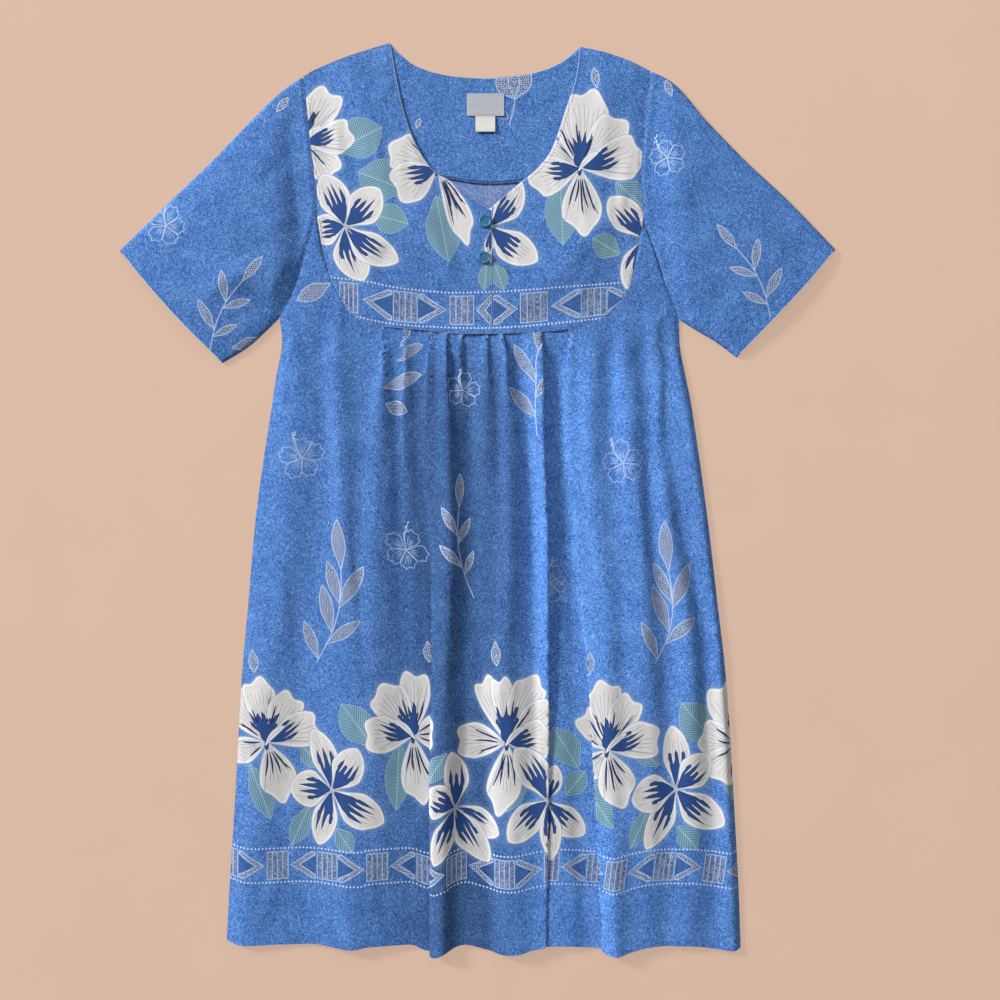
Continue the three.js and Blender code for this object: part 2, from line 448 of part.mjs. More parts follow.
// ---------------------------------------------------------------- sleeves
function sleeve(s) {
  const top = path(side(SLEEVE_TOP, s));
  const under = path(side(SLEEVE_UNDER, s));
  const hole = path(side(ARMHOLE, s));
  const cuff = path(side(CUFF, s));
  // u runs from armhole to cuff, v from the top fold to the underarm
  const plan = coons(top, under, hole, cuff);
  const folds = SLEEVE_FOLDS.filter((f) => f.side === s).map((f) => {
    const a = plan(f.s0, f.t0), b = plan(f.s1, f.t1);
    return { ...f, x0: a[0], y0: a[1], x1: b[0], y1: b[1] };
  });
  const out = (u, v) => { const p = plan(u, v); return [p[0] + s * SEAM_GAP * (1 - u), p[1]]; };
  const lift = (u, v) => {
    const [x, y] = out(u, v);
    const arch = Math.sqrt(Math.max(0, Math.sin(Math.PI * Math.min(Math.max(v, 0), 1))));
    const open = smooth(u / 0.3) * mix(1, 0.8, smooth((u - 0.6) / 0.4));
    let z = SLEEVE_LOFT * arch * open;
    for (const f of folds) z += f.rise * Math.exp(-((across(f, x, y) / f.half) ** 2)) * smooth(u / 0.08) * arch;
    return FRONT_EDGE_Z + 0.3 + Math.max(z, 0);
  };
  const us = steps(7), ts = steps(15);
  const nt = ts.length, ring = 2 * nt;
  const pos = [];
  for (const u of us) {
    const a = plan(u, 0), b = plan(u, 1);
    const w = CLOTH / Math.hypot(a[0] - b[0], a[1] - b[1]);
    const inner = ts.map((t) => w + (1 - 2 * w) * t);
    for (const t of ts) pos.push(...out(u, t), BACK_Z);
    for (const t of [...ts].reverse()) pos.push(...out(u, t), lift(u, t) + CLOTH);
    for (const t of inner) pos.push(...out(u, t), BACK_Z + CLOTH);
    for (const t of [...inner].reverse()) pos.push(...out(u, t), lift(u, t));
  }
  const idx = [];
  const quad = (a, b, c, d) => (s < 0 ? idx.push(a, c, b, a, d, c) : idx.push(a, b, c, a, c, d));
  const at = (i, loop, k) => i * 2 * ring + loop * ring + (k % ring);
  for (let i = 0; i < us.length - 1; i++) for (let k = 0; k < ring; k++) {
    quad(at(i, 0, k), at(i + 1, 0, k), at(i + 1, 0, k + 1), at(i, 0, k + 1));
    quad(at(i, 1, k), at(i, 1, k + 1), at(i + 1, 1, k + 1), at(i + 1, 1, k));
  }
  const n = us.length - 1;
  for (let k = 0; k < ring; k++) {
    quad(at(0, 0, k), at(0, 0, k + 1), at(0, 1, k + 1), at(0, 1, k));
    quad(at(n, 0, k), at(n, 1, k), at(n, 1, k + 1), at(n, 0, k + 1));
  }
  return solid(pos, idx);
}
piece('sleeve_left', sleeve(-1), COLOUR.cloth);
piece('sleeve_right', sleeve(1), COLOUR.cloth);

// ---------------------------------------------------------------- labels and buttons
const LABEL_Z = FACING_Z + TRIM_WALL + GAP;
for (const [name, r, colour] of [['neck_label', LABEL, COLOUR.label], ['size_tab', TAB, COLOUR.tab]]) {
  const curl = name === 'size_tab' ? 1.6 : 0.5;
  piece(name, wall(grid(steps(3), steps(3), (u, v) => [mix(r.left, r.right, u), mix(r.top, r.bottom, v), LABEL_Z + curl * v * v]), TRIM_WALL), colour);
}
for (const b of BUTTONS) {
  const r = BUTTON_R, h = BUTTON_H;
  const profile = [[0, 0], [r - 1.2, 0], [r - 0.3, 0.5], [r, 1.3], [r - 0.2, 2.2], [r - 1.1, h], [r - 2.2, h - 0.1], [r - 3.2, h - 0.7], [0, h - 0.8]];
  const g = new THREE.LatheGeometry(profile.map(([x, y]) => new THREE.Vector2(x, y)), 16);
  g.rotateX(Math.PI / 2);
  const rest = yokeZ(b.x, b.y) + lapRise(b.x) + CLOTH + GAP;
  const mesh = piece(b.name, g, COLOUR.button, 0.35);
  mesh.position.set(b.x, b.y, rest);
}

export default group;
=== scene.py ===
# A loose cotton muumuu dress lying flat on its back: printed cloth shells on the
# forms of the frame, with seams, pleats, stitches, buttons and labels.
# Sizes are in millimetres until a mesh is made.
import bpy
import json
import math
import numpy as np
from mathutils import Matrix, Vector
from mathutils.geometry import delaunay_2d_cdt

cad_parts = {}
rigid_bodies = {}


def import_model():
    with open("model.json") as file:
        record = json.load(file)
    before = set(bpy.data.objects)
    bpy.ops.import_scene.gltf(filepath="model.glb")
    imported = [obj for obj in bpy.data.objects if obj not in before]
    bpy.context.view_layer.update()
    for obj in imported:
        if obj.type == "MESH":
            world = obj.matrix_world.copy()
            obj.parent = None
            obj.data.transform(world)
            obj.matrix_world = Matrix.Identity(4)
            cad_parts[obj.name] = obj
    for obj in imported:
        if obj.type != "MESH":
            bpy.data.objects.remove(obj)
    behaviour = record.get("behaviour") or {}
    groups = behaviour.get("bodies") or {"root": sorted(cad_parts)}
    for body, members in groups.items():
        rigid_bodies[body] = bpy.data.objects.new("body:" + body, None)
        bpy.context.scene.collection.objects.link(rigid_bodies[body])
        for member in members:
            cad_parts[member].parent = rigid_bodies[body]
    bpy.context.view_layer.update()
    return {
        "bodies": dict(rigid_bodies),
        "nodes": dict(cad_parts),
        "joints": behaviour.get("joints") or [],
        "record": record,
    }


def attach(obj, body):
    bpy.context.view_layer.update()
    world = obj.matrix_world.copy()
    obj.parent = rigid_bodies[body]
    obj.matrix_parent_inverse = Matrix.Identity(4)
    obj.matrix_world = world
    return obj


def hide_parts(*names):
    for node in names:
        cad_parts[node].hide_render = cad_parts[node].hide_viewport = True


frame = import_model()
MM = 0.001

# ------------------------------------------------------------------ sizes
FACE = 1.0            # outer face of a cloth shell over the underside of its solid
SHELL = 0.6           # thickness of one layer of cloth
FRONT_X = 17.5
UNDERLAP = 22.0
BACK_SEAM_X = 15.5
HEM_Y = -539.0
HEM_FLAT_Y = -541.0
FRONT_EDGE_Z = 1.5
NECK_Z = 2.8
LAP_RISE = 0.9
SEAM_GAP = 0.4
BUTTON_R = 7.6
BUTTON_H = 3.0
BUTTONS = (("button_upper", 9.5, 340.0), ("button_lower", 8.5, 295.5))
LABEL = dict(left=-13.0, right=32.5, top=496.5, bottom=469.0)
TAB = dict(left=-2.5, right=21.5, top=468.6, bottom=449.0)

# each row: left x, left y, right x, right y
SHOULDER = ((-107, 558.5, 125, 553.5), (-139.5, 548.5, 149.5, 548.5), (-174, 536.5, 183.5, 537.5),
            (-202, 524.5, 199, 530.5), (-213, 518, 211.5, 524.5))
ARMHOLE = ((-213, 518, 211.5, 524.5), (-207, 461, 204.5, 463.5), (-200, 396, 200, 392.5),
           (-197, 369.5, 201.5, 363.5), (-200.5, 339, 205, 335), (-209, 307, 215.5, 304.5),
           (-219, 274, 225.5, 274), (-230, 245, 236, 245), (-241.5, 223, 246.5, 220))
NECK_FRONT = ((-107, 558.5, 125, 553.5), (-99.5, 516, 121, 520.5), (-93.5, 486.5, 107, 475.5),
              (-86, 459.5, 97.5, 446), (-75, 433, 88.5, 424.5), (-61.5, 411, 80, 412.5),
              (-50.5, 399, 69, 401), (-38.5, 392.5, 54.5, 389.5), (-4.5, 368, 26, 365.5),
              (13.5, 355.5, 12, 354.5))
SLEEVE_TOP = ((-213, 518, 211.5, 524.5), (-238.5, 500, 236, 512), (-276.5, 463.5, 280, 463.5),
              (-324, 414.5, 327.5, 414.5), (-375, 365.5, 380, 365.5), (-437.5, 304.5, 437.5, 306))
SLEEVE_UNDER = ((-241.5, 223, 246.5, 220), (-258, 206.5, 268, 206.5), (-279, 187.5, 290, 193.5),
                (-311.5, 167, 316.5, 174))
CUFF = ((-437.5, 304.5, 437.5, 306), (-409.5, 270.5, 405.5, 268), (-364, 219.5, 360.5, 219.5),
        (-311.5, 167, 316.5, 174))
# y, left x, right x
SIDE = ((222, -241.5, 246.5), (195, -239, 247), (146, -247, 255.5), (121.5, -250.5, 260.5),
        (73, -258, 268), (-24.5, -271.5, 281.5), (-122.5, -280, 293), (-220, -288.5, 304),
        (-366.5, -296.5, 313.5), (-488.5, -304, 320), (-549, -307, 322))
YOKE_EDGE = ((-197, 350), (-189.5, 304.5), (-182.5, 280.5), (-166.5, 245), (-153, 226.5), (-124, 213),
             (-70, 207), (-9, 202), (46, 203), (94.5, 206), (131, 213), (155.5, 223), (172.5, 239),
             (183.5, 253.5), (189.5, 275.5), (197, 311), (203, 347))
BACK_NECK = ((-107, 558.5), (-94.5, 545), (-71.5, 529), (-24, 517.5), (15.5, 515.5), (71.5, 523),
             (103, 535.5), (125, 553.5))
FACING_OUTER = ((-161.5, 541), (-159, 512), (-139.5, 456), (-88.5, 408.5), (-38.5, 393), (15.5, 386.5),
                (49.5, 388.5), (100.5, 404.5), (139.5, 429), (175, 487.5), (181, 537.5))
# levels of the skirt where each fold line is stated: corner, chest, seam, release,
# waist, hip, thigh, border, hem
STATIONS = (347.5, 262, 204.5, 176.5, 85, -49, -189.5, -366.5, -531)
# name, x at each station, height at each station, hem
FOLDS = (
    ("side_left", None, (2.8, 2.4, 1.5, 1.5, 1.5, 1.5, 1.5, 1.5, 1.5), -538.5),
    ("side_roll_l", (-180, -208, -220, -222.5, -227.5, -237.5, -253, -268, -282.5), (3, 3.6, 4.5, 5.5, 6, 6.5, 6.5, 6.5, 7), -544),
    ("hollow_1", (-160.5, -181, -188.5, -189.5, -188.5, -194.5, -211.5, -213, -207), (3, 3, 2.4, 2.2, 2.2, 2.2, 2.4, 2.2, 2.2), -542.5),
    ("roll_2", (-146, -165.5, -171.5, -171.5, -168, -161.5, -150.5, -153, -158), (3, 3.6, 4.6, 7.5, 8, 9, 8.5, 9, 11), -548),
    ("hollow_2", (-131, -143.5, -150.5, -146, -139.5, -147, -141, -142, -147), (3, 3, 2.8, 2.6, 5, 5.5, 8, 9, 11), -548),
    ("pleat_1", (-113, -116.5, -117.5, -115.5, -119, -121.5, -127.5, -130, -136), (3, 3, 4.2, 8.5, 9, 9.5, 9, 9, 10.5), -545),
    ("hollow_3", (-103, -105.5, -107, -102, -98, -93.5, -89.5, -89.5, -85), (3, 3, 2.6, 2.4, 3, 3.6, 3.8, 3.8, 4), -543),
    ("pleat_2", (-88.5, -89.5, -91, -89.5, -89.5, -81, -77.5, -77.5, -76), (3, 3, 4.2, 7, 5, 3.2, 3, 2.8, 3), -544.5),
    ("hollow_4", (-71.5, -72.5, -72.5, -74, -74, -67.5, -63, -61, -64), (3, 3, 2.6, 2.2, 2, 2, 2, 2, 2.2), -550.5),
    ("pleat_3", (-58, -59, -59, -60.5, -61.5, -56.5, -56.5, -58.5, -58), (3, 3, 4, 6.5, 5, 4, 4.5, 8, 6), -557),
    ("lip_3", (-48, -49.5, -50.5, -52, -53, -48, -50.5, -55, -53), (3, 3, 2.7, 3, 5.5, 7.5, 8.5, 12.5, 10), -558),
    ("pleat_4", (-36, -37, -37, -37, -37, -33.5, -38.5, -42, -43.5), (3, 3, 4.4, 9, 11.5, 13, 12.5, 14, 14.5), -554),
    ("hollow_5", (-26, -27.5, -27.5, -27.5, -26, -20, -21.5, -24, -26), (3, 3, 2.7, 4, 6, 6, 5.4, 6.5, 6.5), -545),
    ("pleat_5", (-16.5, -17.5, -17.5, -20, -19, -13, -13, -14, -15), (3, 3, 4.2, 6, 4, 3, 2.6, 3.2, 4), -543),
    ("hollow_6", (-4.5, -5.5, -5.5, -6.5, -8, -4.5, 0.5, 8, 13), (3, 3, 2.5, 2.1, 2, 2, 2, 2, 2.2), -550),
    ("pleat_6", (13, 13, 13, 11.5, 14, 16.5, 20, 24, 27.5), (3, 3, 4.2, 7.5, 8, 6, 8, 8, 9), -553.5),
    ("hollow_7", (21.5, 21.5, 21.5, 22.5, 24, 26, 27.5, 33.5, 37), (3, 3, 2.9, 4, 7.2, 9.5, 11.5, 10.5, 12), -554),
    ("pleat_7", (31, 31, 31, 36, 37, 38.5, 37, 43.5, 48), (3, 3, 4.4, 9, 11, 13, 12, 11.5, 13), -553.5),
    ("hollow_8", (47, 47, 47, 49.5, 60.5, 66.5, 67.5, 71.5, 69), (3, 3, 2.6, 2.2, 3, 3, 4, 8, 10), -548),
    ("pleat_8", (63, 63, 63, 65.5, 70, 76, 77.5, 77.5, 76), (3, 3, 4.2, 7, 8, 8.5, 8, 8.5, 10), -547),
    ("pleat_9", (77.5, 77.5, 77.5, 80, 81, 86, 87, 86, 83.5), (3, 3, 4.6, 11, 13.5, 15, 13, 9.5, 10), -545.5),
    ("foot_9", (87, 87, 87, 88, 89, 92, 96, 99.5, 102), (3, 3, 2.8, 3.4, 3.6, 4.2, 5, 7, 8), -544.5),
    ("hollow_9", (98, 98, 98, 98, 100.5, 111.5, 122.5, 135, 146), (3, 3, 2.5, 2, 2, 2, 2, 2, 2.2), -547.5),
    ("pleat_10", (110.5, 110.5, 110.5, 110.5, 114, 124, 133.5, 143.5, 152), (3, 3, 3.8, 5.5, 5, 5, 5, 5.2, 5), -551),
    ("hollow_10", (117.5, 117.5, 119, 119, 121.5, 130, 139.5, 149.5, 157), (3, 3, 2.8, 4.4, 5.2, 6, 6.4, 7, 7.5), -554),
    ("roll_11", (137, 138.5, 139.5, 141, 137, 146, 159, 164, 169), (3, 3, 4.2, 8, 9.5, 10.5, 11, 12, 14), -556),
    ("hollow_11", (149.5, 161.5, 164, 163, 163, 170, 180, 185, 188.5), (3, 3, 2.6, 2.3, 3.4, 7, 8, 9, 9.5), -550.5),
    ("roll_12", (161.5, 176.5, 180, 181, 185, 198, 205.5, 210.5, 210.5), (3, 3.2, 4.2, 8, 9, 9.5, 10, 8, 8), -545.5),
    ("hollow_12", (174, 196, 202, 203, 209, 215.5, 235, 236, 233.5), (3, 3, 2.3, 2.1, 2.4, 3, 2.6, 4, 5), -544.5),
    ("roll_13", (183.5, 208, 216.5, 220, 221.5, 236, 259, 261.5, 258), (3, 3.4, 4.4, 5.5, 5.5, 9, 9, 7.5, 7), -544.5),
    ("hollow_13", (193.5, 218, 227.5, 231, 235, 255.5, 279, 287.5, 288.5), (3, 3, 2.4, 2.2, 2.2, 2.2, 2.2, 2.6, 3), -548),
    ("side_roll_r", (199.5, 224, 236, 242, 258, 276.5, 294.5, 304.5, 311.5), (3, 3.4, 3.8, 4.8, 6, 6.5, 6.5, 6.5, 7), -550.5),
    ("side_right", None, (2.8, 2.4, 1.5, 1.5, 1.5, 1.5, 1.5, 1.5, 1.5), -547),
)
# cloth lapped under itself between two fold lines: the foot line, the crest line,
# and how deep it runs under at each station
TUCKS = (
    ("hollow_2", "pleat_1", (4, 4, 4, 2.5, 0, 0, 0, 0, 0)),
    ("hollow_3", "pleat_2", (4, 4, 4, 2.5, 0, 0, 0, 0, 0)),
    ("hollow_4", "pleat_3", (4, 4, 4, 2.0, 0, 2, 6, 8, 9)),
    ("hollow_5", "pleat_4", (5, 5, 5, 3.5, 0, 0, 0, 0, 0)),
    ("hollow_6", "pleat_5", (5, 5, 5, 2.5, 0, 0, 0, 0, 0)),
    ("hollow_7", "pleat_6", (3, 3, 3, 1.5, 0, 0, 0, 0, 0)),
    ("hollow_8", "pleat_7", (5, 5, 5, 3.0, 0, 0, 0, 0, 0)),
    ("foot_9", "pleat_9", (6, 6, 6, 7, 8, 8, 4, 2, 4)),
    ("hollow_9", "pleat_10", (3, 3, 3, 2, 0, 0, 2, 15, 20)),
)
# long soft folds of the yoke: from, to, half width, height
YOKE_FOLDS = ((-66, 345, -12, 250, 16, 3.0), (-108, 300, -24, 236, 14, -2.6), (-150, 520, -128, 400, 15, 2.2),
              (160, 515, 150, 420, 16, 2.0), (150, 330, 80, 262, 18, 2.4))
# folds of the sleeves: side, then s (armhole to cuff) and t (top to underarm) of both ends
SLEEVE_FOLDS = ((-1, 0.06, 0.2, 0.1, 0.55, 16, -3.2), (-1, 0.12, 0.95, 0.5, 0.72, 15, -3.0),
                (-1, 0.2, 0.72, 0.75, 0.55, 22, 2.6), (1, 0.1, 0.1, 0.2, 0.4, 16, 3.2),
                (1, 0.1, 0.95, 0.55, 0.8, 16, -3.4), (1, 0.25, 0.12, 0.9, 0.14, 13, -2.6))


# ------------------------------------------------------------------ curves
def cubic(xs, ys):
    """Fritsch-Carlson cubic through the rows, never overshooting."""
    xs, ys = np.asarray(xs, float), np.asarray(ys, float)
    h = np.diff(xs)
    d = np.diff(ys) / h
    m = np.zeros(len(xs))
    a, b = 2 * h[1:] + h[:-1], h[1:] + 2 * h[:-1]
    ok = d[:-1] * d[1:] > 0
    m[1:-1][ok] = ((a + b)[ok]) / (a[ok] / d[:-1][ok] + b[ok] / d[1:][ok])
    m[0], m[-1] = d[0], d[-1]

    def f(x):
        x = np.asarray(x, float)
        i = np.clip(np.searchsorted(xs, x, side="left") - 1, 0, len(xs) - 2)
        t = np.clip((x - xs[i]) / h[i], 0, 1)
        u = 1 - t
        return ys[i] * (1 + 2 * t) * u * u + h[i] * m[i] * t * u * u + ys[i + 1] * t * t * (3 - 2 * t) + h[i] * m[i + 1] * t * t * (t - 1)
    return f


def path(points):
    p = np.asarray(points, float)
    s = np.concatenate([[0], np.cumsum(np.hypot(*np.diff(p, axis=0).T))])
    fx, fy = cubic(s, p[:, 0]), cubic(s, p[:, 1])

    def f(t):
        t = np.asarray(t, float) * s[-1]
        return np.stack([fx(t), fy(t)], -1)
    return f


def side(rows, s):
    return [(r[0], r[1]) if s < 0 else (r[2], r[3]) for r in rows]


def smooth(t):
    t = np.clip(t, 0, 1)
    return t * t * (3 - 2 * t)


def mix(a, b, t):
    return a + (b - a) * t


def coons(top, bottom, left, right):
    c = [[f(0.0) for f in (top, bottom)], [f(1.0) for f in (top, bottom)]]

    def f(u, v):
        a, b = np.asarray(u, float)[..., None], np.asarray(v, float)[..., None]
        return ((1 - b) * top(u) + b * bottom(u) + (1 - a) * left(v) + a * right(v)
                - ((1 - a) * (1 - b) * c[0][0] + a * (1 - b) * c[1][0] + (1 - a) * b * c[0][1] + a * b * c[1][1]))
    return f


def across(x0, y0, x1, y1, x, y):
    dx, dy = x1 - x0, y1 - y0
    t = np.clip(((x - x0) * dx + (y - y0) * dy) / (dx * dx + dy * dy + 1e-12), 0, 1)
    return np.hypot(x - x0 - t * dx, y - y0 - t * dy)


def to_line(points, line):
    """Distance of each point to an open line of points."""
    points, line = np.asarray(points, float), np.asarray(line, float)
    best = np.full(len(points), 1e9)
    for a, b in zip(line[:-1], line[1:]):
        near = (points[:, 0] > min(a[0], b[0]) - 40) & (points[:, 0] < max(a[0], b[0]) + 40)
        if near.any():
            d = across(a[0], a[1], b[0], b[1], points[near, 0], points[near, 1])
            best[near] = np.minimum(best[near], d)
    return best


def lattice(x, y, size, seed):
    """Smooth random height from -1 to 1 over the plan, with bumps of about that size."""
    rng = np.random.default_rng(seed)
    table = rng.uniform(-1, 1, (97, 89))
    x, y = np.asarray(x, float) / size + 400.3, np.asarray(y, float) / size + 400.7
    i, j = np.floor(x).astype(int), np.floor(y).astype(int)
    u, v = smooth(x - i), smooth(y - j)
    g = lambda a, b: table[a % 97, b % 89]
    return (g(i, j) * (1 - u) + g(i + 1, j) * u) * (1 - v) + (g(i, j + 1) * (1 - u) + g(i + 1, j + 1) * u) * v


def spaced(points, step, closed=False):
    """The same line with points a step apart; its corners stay."""
    p = np.asarray(points, float)
    if closed:
        p = np.vstack([p, p[:1]])
    out = []
    for a, b in zip(p[:-1], p[1:]):
        n = max(1, int(round(np.hypot(*(b - a)) / step)))
        out += [a + (b - a) * i / n for i in range(n)]
    if not closed:
        out.append(p[-1])
    return np.array(out)


def inside(points, loops, chunk=4000):
    """Which points lie inside the closed loops, taken together, even-odd."""
    points = np.asarray(points, float)
    found = np.zeros(len(points), bool)
    for loop in loops:
        a = np.asarray(loop, float)
        b = np.roll(a, -1, 0)
        rise = b[:, 1] - a[:, 1]
        keep = np.abs(rise) > 1e-12
        a, b, rise = a[keep], b[keep], rise[keep]
        for s in range(0, len(points), chunk):
            x, y = points[s:s + chunk, 0][:, None], points[s:s + chunk, 1][:, None]
            over = (a[:, 1] > y) != (b[:, 1] > y)
            cross = over & (x < a[:, 0] + (y - a[:, 1]) / rise * (b[:, 0] - a[:, 0]))
            found[s:s + chunk] ^= (cross.sum(1) % 2).astype(bool)
    return found


# ------------------------------------------------------------------ body outline
side_x = {}
for s in (-1, 1):
    rows = [(p[1], p[0]) for p in side(ARMHOLE, s)[3:]][:-1] + [(r[0], r[1] if s < 0 else r[2]) for r in SIDE]
    rows = rows[::-1]
    side_x[s] = cubic([r[0] for r in rows], [r[1] for r in rows])
yoke_edge_y = cubic([r[0] for r in YOKE_EDGE], [r[1] for r in YOKE_EDGE])
edge_line = path(YOKE_EDGE)(np.linspace(0, 1, 240))

# ------------------------------------------------------------------ skirt surface
NAMES = [f[0] for f in FOLDS]
down = lambda values: cubic(STATIONS[::-1], values[::-1])
fold_x = [side_x[-1]] + [down(f[1]) for f in FOLDS[1:-1]] + [side_x[1]]
fold_z = [down(f[2]) for f in FOLDS]
hem_drop = np.array([f[3] - HEM_FLAT_Y for f in FOLDS])
tuck_depth = {(NAMES.index(a), NAMES.index(b)): down(d) for a, b, d in TUCKS}
ROW = 3.0
row_y = np.arange(-547.0, 356.0, ROW)
GRID = 1.0
grid_p = np.arange(-440.0, 481.0, GRID)


def skirt_row(y):
    """x, height, hem drop and length along the cloth, at one level, left to right."""
    k = np.arange(len(FOLDS), dtype=float)
    fx, fz = np.array([f(y) for f in fold_x]), np.array([f(y) for f in fold_z])
    bx, bz = cubic(k, fx), cubic(k, fz)
    nk, nx, nz = [], [], []
    for i in range(len(FOLDS)):
        nk.append(float(i)); nx.append(fx[i]); nz.append(fz[i])
        right = (i, i + 1) in tuck_depth
        left = (i + 1, i) in tuck_depth
        if not (right or left):
            continue
        deep = float(tuck_depth[(i, i + 1) if right else (i + 1, i)](y))
        w = float(smooth(deep / 3.0))
        foot, crest = (i, i + 1) if right else (i + 1, i)
        way = 1.0 if right else -1.0
        zf = max(1.7, fz[foot] - 1.2 * w * smooth((fz[foot] - fz[crest] + 2.6) / 2.0))
        zc = max(fz[crest], zf + 2.2 * w)
        cx = fx[crest]
        knots = [(0.2, cx + way * deep, zf + 0.15), (0.4, cx + way * (deep + 0.5), zf + 0.75),
                 (0.6, cx + way * deep * 0.55, zf + 1.3), (0.8, cx - way * 0.9, mix(zf + 1.5, zc, 0.45))]
        if not right:
            knots = [(1 - a, b, c) for a, b, c in knots][::-1]
        nz[-1] = mix(nz[-1], zc if not right else zf, w)
        for a, b, c in knots:
            nk.append(i + a)
            nx.append(mix(float(bx(i + a)), b, w))
            nz.append(mix(float(bz(i + a)), c, w))
        fz[i + 1] = mix(fz[i + 1], zc if right else zf, w)
    kk = np.concatenate([np.linspace(a, b, 8, endpoint=False) for a, b in zip(nk[:-1], nk[1:])] + [[nk[-1]]])
    x, z = cubic(nk, nx)(kk), cubic(nk, nz)(kk)
    return x, z, cubic(k, hem_drop)(kk), kk


def hem_shift(drop, y):
    return drop * smooth((-300 - y) / 165)


table_x, table_y, table_z, rows = [], [], [], []
for y in row_y:
    x, z, drop, kk = skirt_row(float(y))
    s = np.concatenate([[0], np.cumsum(np.hypot(np.diff(x), np.diff(z)))])
    at = np.nonzero((x[:-1] - 9.0) * (x[1:] - 9.0) <= 0)[0]
    at = at[np.argmax(z[at])]
    s = s - (s[at] + (s[at + 1] - s[at]) * (9.0 - x[at]) / (x[at + 1] - x[at] + 1e-9))
    rows.append((s, x, z, drop))
    sp = np.concatenate([[s[0] - 30], s, [s[-1] + 30]])
    xp = np.concatenate([[x[0] - 30], x, [x[-1] + 30]])
    zp = np.concatenate([[z[0]], z, [z[-1]]])
    dp = np.concatenate([[drop[0]], drop, [drop[-1]]])
    table_x.append(np.interp(grid_p, sp, xp))
    table_z.append(np.interp(grid_p, sp, zp))
    table_y.append(y + hem_shift(np.interp(grid_p, sp, dp), y))
table_x, table_y, table_z = np.array(table_x), np.array(table_y), np.array(table_z)

# short creases of the skirt: from, to, half width, height
SKIRT_CREASES = (
    (-236, 205, -212, 120, 9, 1.6), (-222, 232, -196, 150, 7, -1.4), (-205, 150, -188, 20, 8, 1.2),
    (-262, 20, -240, -90, 9, -1.3), (-246, -60, -228, -190, 8, 1.2), (-180, 60, -176, -80, 7, -0.9),
    (-110, 80, -104, -60, 6, 0.8), (-150, -210, -118, -330, 10, 1.4), (-196, -300, -232, -420, 11, 1.4),
    (-66, 40, -78, -110, 6, 0.8), (-24, -220, -30, -330, 7, 1.0), (40, 120, 52, 20, 7, 0.8),
    (104, -60, 108, -200, 7, 1.0), (120, 130, 124, 10, 7, 0.9), (142, -20, 152, -170, 8, -1.0),
    (190, 190, 176, 90, 8, -1.4), (228, 240, 204, 160, 7, 1.6), (236, 150, 222, 20, 8, -1.3),
    (252, -40, 262, -180, 9, 1.3), (214, -150, 232, -260, 9, -1.0), (276, -220, 286, -330, 8, -1.4),
    (180, -300, 196, -420, 9, 1.2), (60, -260, 64, -400, 7, -0.8), (-240, -440, -262, -520, 9, 1.2),
    (250, -430, 268, -520, 9, -1.2), (-120, -440, -112, -520, 8, -1.0), (-20, -400, -16, -510, 7, 0.8),
)


def creases(table, x, y):
    z = np.zeros(np.shape(x))
    for x0, y0, x1, y1, half, rise in table:
        long = math.hypot(x1 - x0, y1 - y0)
        t = ((x - x0) * (x1 - x0) + (y - y0) * (y1 - y0)) / long ** 2
        d = ((x - x0) * (y1 - y0) - (y - y0) * (x1 - x0)) / long
        bow = d + 0.12 * long * (t - 0.5) ** 2
        z += rise * np.exp(-(bow / half) ** 2) * np.exp(-((t - 0.5) / 0.42) ** 4)
    return z


def ripple(x, y, seed, amount=1.0):
    """Small unevenness of a worn, pressed cotton."""
    return amount * (0.30 * lattice(x, y * 0.45, 9.0, seed) + 0.42 * lattice(x, y * 0.5, 21.0, seed + 1)
                     + 0.10 * lattice(x, y, 4.5, seed + 2))


table_z = table_z + np.where(table_z > 0, 1, 0) * (creases(SKIRT_CREASES, table_x, table_y)
                                                   + ripple(table_x, table_y, 11)) * smooth((table_z - 1.4) / 2.2)
table_z = np.maximum(table_z, 1.35)
hem_roll = np.exp(-((row_y - (HEM_FLAT_Y + 15)) / 1.4) ** 2)[:, None]
table_z = table_z - 0.30 * hem_roll + 0.25 * smooth((HEM_FLAT_Y + 13.5 - row_y) / 2)[:, None]


def look_up(table, p, y):
    a = np.clip((p - grid_p[0]) / GRID, 0, len(grid_p) - 1.001)
    b = np.clip((y - row_y[0]) / ROW, 0, len(row_y) - 1.001)
    i, j = a.astype(int), b.astype(int)
    u, v = a - i, b - j
    return ((table[j, i] * (1 - u) + table[j, i + 1] * u) * (1 - v)
            + (table[j + 1, i] * (1 - u) + table[j + 1, i + 1] * u) * v)


def skirt_lift(q):
    p, y = q[:, 0], q[:, 1]
    x, yy, z = look_up(table_x, p, y), look_up(table_y, p, y), look_up(table_z, p, y)
    edge = np.minimum(p - skirt_left(y), skirt_right(y) - p)
    z = z + FACE - 0.75 * np.exp(-(np.maximum(edge, 0) / 2.2) ** 2) * (z < 2.6)
    flat = np.stack([x, yy], -1)
    d = to_line(flat, edge_line)
    near = np.nonzero(d < 8)[0]
    if len(near):
        # the cloth dips into the seam and runs on under the made edge of the yoke
        above = under_yoke(flat[near])
        out = np.where(yy[near] > yoke_edge_y(x[near]), 0.0, d[near])
        soft = lambda a, b, k: (a + b - np.sqrt((a - b) ** 2 + k * k)) / 2
        zn = soft(z[near], above + 1.25 * out, 0.35)
        zn = -soft(-zn, -(above - 0.55 - 0.8 * out), 0.35)
        z[near] = np.maximum(zn, 1.42)
    return np.stack([x, yy, z], -1)


skirt_left = lambda y: np.interp(y, row_y, [r[0][0] for r in rows])
skirt_right = lambda y: np.interp(y, row_y, [r[0][-1] for r in rows])


